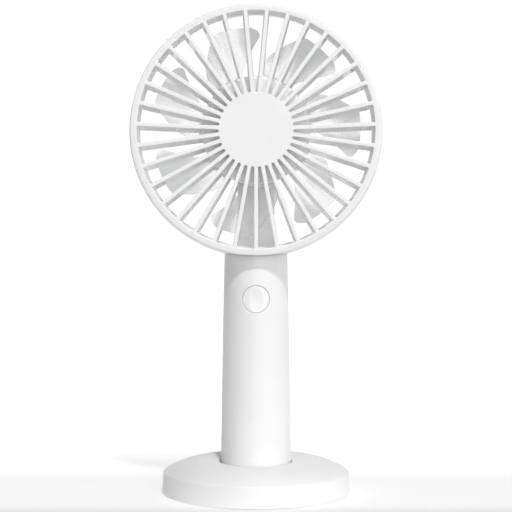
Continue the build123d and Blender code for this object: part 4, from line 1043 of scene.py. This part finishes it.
def blade_angles(radius):
    """Trailing and leading angle of a blade at a radius, in degrees clockwise."""
    leading_end, leading_angle = BLADE_LEADING[-1]
    trailing_end, trailing_angle = BLADE_TRAILING[-1]
    leading = smooth_value(BLADE_LEADING, min(radius, leading_end), 1)
    trailing = smooth_value(BLADE_TRAILING, min(radius, trailing_end), 1)
    if radius > leading_end:
        leading = leading_angle - LEADING_TIP_TURN * ((radius - leading_end) / LEADING_TIP_W) ** 3
    if radius > trailing_end:
        trailing = trailing_angle + TRAILING_TIP_TURN * ((radius - trailing_end) / TRAILING_TIP_W) ** 3
    return trailing, leading


def blade_middle(radius, angle):
    """Point on a blade's middle surface as (x, y, z) round the head, for a blade at angle 0."""
    x, z = radius * sin(radians(angle)), radius * cos(radians(angle))
    reach = x * sin(BLADE_STACK_ANGLE) + z * cos(BLADE_STACK_ANGLE)
    side = x * cos(BLADE_STACK_ANGLE) - z * sin(BLADE_STACK_ANGLE)
    pitch = smooth_value(BLADE_TWIST, reach, 1)
    offset = smooth_value(BLADE_TWIST, reach, 2)
    return Vector((x, BLADE_MID_Y + tan(radians(pitch)) * (side - offset), z))


def edge_spread(length, half_t, steps):
    """Places along a length, close together near both ends, with the half thickness at each."""
    places = [half_t * share for share in EDGE_SHARES]
    places += [half_t + (length - 2 * half_t) * step / steps for step in range(1, steps)]
    places += [length - half_t * share for share in reversed(EDGE_SHARES)]

    def thickness_at(place):
        to_edge = max(0.0, 1 - min(place, length - place) / half_t)
        return half_t * sqrt(max(0.0, 1 - to_edge**2))

    return [(place / length, thickness_at(place)) for place in places]


def add_blade(surface, turn):
    """One blade from inside the hub's wall to its rounded tip, turned into its place."""
    half_t = BLADE_T / 2
    root_r = HUB_R - BLADE_ROOT_DEPTH
    reach = BLADE_TIP_R - half_t - root_r
    radii = [root_r + reach * (step / BLADE_ROWS) for step in range(BLADE_ROWS + 1)]
    radii += [BLADE_TIP_R - half_t * share for share in reversed(EDGE_SHARES[:-1])]
    across = edge_spread(BLADE_CHORD, half_t, BLADE_COLUMNS)
    middle, thickness = [], []
    for radius in radii:
        trailing, leading = blade_angles(radius)
        tip_share = max(0.0, 1 - (BLADE_TIP_R - radius) / half_t)
        tip_factor = sqrt(max(0.0, 1 - tip_share**2))
        middle.append([
            blade_middle(radius, trailing + (leading - trailing) * share) for share, _half in across
        ])
        thickness.append([half * tip_factor for _share, half in across])
    rows, columns = len(radii), len(across)
    sides = []
    for sign in (1, -1):
        grid = []
        for row in range(rows):
            line = []
            for column in range(columns):
                along = middle[min(row + 1, rows - 1)][column] - middle[max(row - 1, 0)][column]
                over = middle[row][min(column + 1, columns - 1)] - middle[row][max(column - 1, 0)]
                normal = along.cross(over).normalized()
                point = middle[row][column] + normal * sign * thickness[row][column]
                x = point.x * cos(turn) + point.z * sin(turn)
                z = -point.x * sin(turn) + point.z * cos(turn)
                line.append((x, point.y, HEAD_Z + z))
            grid.append(surface.loop(line))
        surface.skin(grid, closed=False)
        sides.append(grid)
    surface.bridge(sides[0][0], sides[1][0], closed=False)


def make_impeller():
    """Hub cup with its ring of blades, one moulding."""
    surface = Surface()
    front_y, back_y = HUB_FRONT_Y, HUB_BACK_Y
    inner_r = HUB_R - HUB_WALL
    corners = [
        (front_y, 0, 0),
        (front_y, HUB_R - HUB_FACE_EDGE_W, 0),
        (front_y, HUB_R, HUB_EDGE_R),
        (back_y, HUB_R, HUB_BACK_EDGE_R),
        (back_y, inner_r, HUB_BACK_EDGE_R),
        (front_y + HUB_WALL, inner_r, HUB_INNER_EDGE_R),
        (front_y + HUB_WALL, 0, 0),
    ]
    lathe(surface, rounded(corners, CORNER_STEPS), around_head, HUB_STEPS)
    for blade in range(BLADE_COUNT):
        add_blade(surface, FIRST_BLADE_ANGLE + TURN * blade / BLADE_COUNT)
    piece(
        "impeller_moulding", surface, "rotor", finish["blade_white"],
        sharp=BLADE_SHARP_ANGLE, replaces=("impeller",),
    )


make_impeller()


# ---------------------------------------------------------------- carried-over CAD nodes

# Width of the rounding in millimetres
ROUNDED_NODES = {
    "rear_housing": 0.3, "motor_cover": 0.25, "duct_cover": 0.15, "base_plate": 0.15, "foot_pad": 0.15,
    "handle_end_cap": 0.2, "base_weight": 0.2, "switch_body": 0.1, "charge_socket": 0.05,
}
ROUNDING_SEGMENTS = 3
ROUNDING_ANGLE = 40

for name, width in ROUNDED_NODES.items():
    rounding = frame["nodes"][name].modifiers.new("rounded_edges", "BEVEL")
    rounding.width = width * MM
    rounding.segments = ROUNDING_SEGMENTS
    rounding.limit_method = "ANGLE"
    rounding.angle_limit = radians(ROUNDING_ANGLE)
    rounding.harden_normals = True


# ---------------------------------------------------------------- floor, light and camera

CAMERA_DISTANCE = 0.642
CAMERA_HEIGHT = 0.1209
LENS = 106.2
HORIZON_SHIFT = -49 / 512
# Name, strength, softness in degrees, degrees to the right of the front, degrees up
LAMPS = (("key", 1.64, 6, 12, 54), ("side_fill", 1.42, 50, 22, 13))
CEILING_STRENGTH = 0.3
SIDE_STRENGTH = 0.05
LEFT_STRENGTH = -0.05
LEFT_CEILING_STRENGTH = 0.04
BACKDROP_STRENGTH = 0.74
# Parts of a direction between which the strengths above give way to one another
BACKDROP_EDGE = (0.6, 0.95)
LEFT_EDGE = (-0.9, -0.3)
LEFT_CEILING_EDGE = (-0.9, -0.2)
HORIZON_EDGE = (0.24, 0.45)
FLOOR_SIZE = 12.0
FLOOR_TONES = ((0.49, 0.49, 0.49), (0.51, 0.51, 0.51))
FLOOR_GRAIN_MM = 30.0
# Painted light: the floor's glow, none in front of the object and rising behind it
FLOOR_GLOW = 0.5
FLOOR_GLOW_FROM_Y = (-0.08, -0.03)
FLOOR_FAR_GLOW = 0.3
FLOOR_FAR_GLOW_FROM_Y = (0.03, 0.1)
CLIP_START = 0.05
CLIP_END = 50


def make_floor():
    """Pale paper floor, one flat square, whose glow is painted light from the object on towards the back."""
    floor_mesh = bpy.data.meshes.new("studio_floor")
    half = FLOOR_SIZE / 2
    corners = [(-half, -half, 0), (half, -half, 0), (half, half, 0), (-half, half, 0)]
    floor_mesh.from_pydata(corners, [], [(0, 1, 2, 3)])
    floor = bpy.data.objects.new("studio_floor", floor_mesh)
    bpy.context.scene.collection.objects.link(floor)
    nodes = Nodes("studio_paper")
    paper = nodes.spread(nodes.noise(FLOOR_GRAIN_MM, 3.0), 0.0, 1.0)
    nodes.link(nodes.mix(paper, *FLOOR_TONES), nodes.shader, "Base Color")
    nodes.shader.inputs["Roughness"].default_value = 0.9
    nodes.shader.inputs["Emission Color"].default_value = (1, 1, 1, 1)
    split = nodes.add("ShaderNodeSeparateXYZ")
    nodes.link(nodes.place, split, "Vector")
    near = nodes.spread(split.outputs["Y"], 0.0, FLOOR_GLOW, *FLOOR_GLOW_FROM_Y)
    # Painted light: more glow further back, which lifts the key lamp's shadow on the floor behind the base
    far = nodes.spread(split.outputs["Y"], 0.0, FLOOR_FAR_GLOW, *FLOOR_FAR_GLOW_FROM_Y)
    nodes.link(nodes.maths("ADD", near, far), nodes.shader, "Emission Strength")
    floor_mesh.materials.append(nodes.material)


def make_light():
    """Soft studio: a bright backdrop, a dimmer ceiling, dark on the left, and two lamps at the front."""
    world = bpy.data.worlds.new("studio")
    bpy.context.scene.world = world
    world.use_nodes = True
    tree = world.node_tree
    sky = tree.nodes["Background"]
    place = tree.nodes.new("ShaderNodeTexCoord")
    split = tree.nodes.new("ShaderNodeSeparateXYZ")
    tree.links.new(place.outputs["Generated"], split.inputs["Vector"])

    def ramp(direction, from_low, from_high, low, high):
        node = tree.nodes.new("ShaderNodeMapRange")
        node.interpolation_type = "SMOOTHSTEP"
        tree.links.new(split.outputs[direction], node.inputs["Value"])
        limits = {"From Min": from_low, "From Max": from_high, "To Min": low, "To Max": high}
        for socket, value in limits.items():
            node.inputs[socket].default_value = value
        return node.outputs["Result"]

    round_the_horizon = tree.nodes.new("ShaderNodeMath")
    round_the_horizon.operation = "ADD"
    backdrop = ramp("Y", *BACKDROP_EDGE, SIDE_STRENGTH, BACKDROP_STRENGTH)
    left_wall = ramp("X", *LEFT_EDGE, LEFT_STRENGTH, 0.0)
    ceiling = ramp("X", *LEFT_CEILING_EDGE, LEFT_CEILING_STRENGTH, CEILING_STRENGTH)
    tree.links.new(backdrop, round_the_horizon.inputs[0])
    tree.links.new(left_wall, round_the_horizon.inputs[1])
    total = tree.nodes.new("ShaderNodeMath")
    total.operation = "MULTIPLY_ADD"
    tree.links.new(ramp("Z", *HORIZON_EDGE, 1.0, 0.0), total.inputs[0])
    tree.links.new(round_the_horizon.outputs["Value"], total.inputs[1])
    tree.links.new(ceiling, total.inputs[2])
    tree.links.new(total.outputs["Value"], sky.inputs["Strength"])
    sky.inputs["Color"].default_value = (1, 1, 1, 1)
    for name, energy, softness, azimuth, elevation in LAMPS:
        light = bpy.data.lights.new(name, "SUN")
        light.energy = energy
        light.angle = radians(softness)
        lamp = bpy.data.objects.new(name, light)
        bpy.context.scene.collection.objects.link(lamp)
        turn, rise = radians(azimuth), radians(elevation)
        towards = Vector((sin(turn) * cos(rise), -cos(turn) * cos(rise), sin(rise)))
        lamp.rotation_mode = "QUATERNION"
        lamp.rotation_quaternion = towards.to_track_quat("Z", "Y")


def make_camera():
    """Level camera in front of the head's lower part; the shift frames the object as in the photograph."""
    camera = bpy.data.objects.new("camera", bpy.data.cameras.new("camera"))
    bpy.context.scene.collection.objects.link(camera)
    camera.location = (0, -CAMERA_DISTANCE, CAMERA_HEIGHT)
    camera.rotation_euler = (pi / 2, 0, 0)
    camera.data.lens = LENS
    camera.data.shift_y = HORIZON_SHIFT
    camera.data.clip_start = CLIP_START
    camera.data.clip_end = CLIP_END
    bpy.context.scene.camera = camera


make_floor()
make_light()
make_camera()
bpy.context.scene.view_settings.view_transform = "Standard"
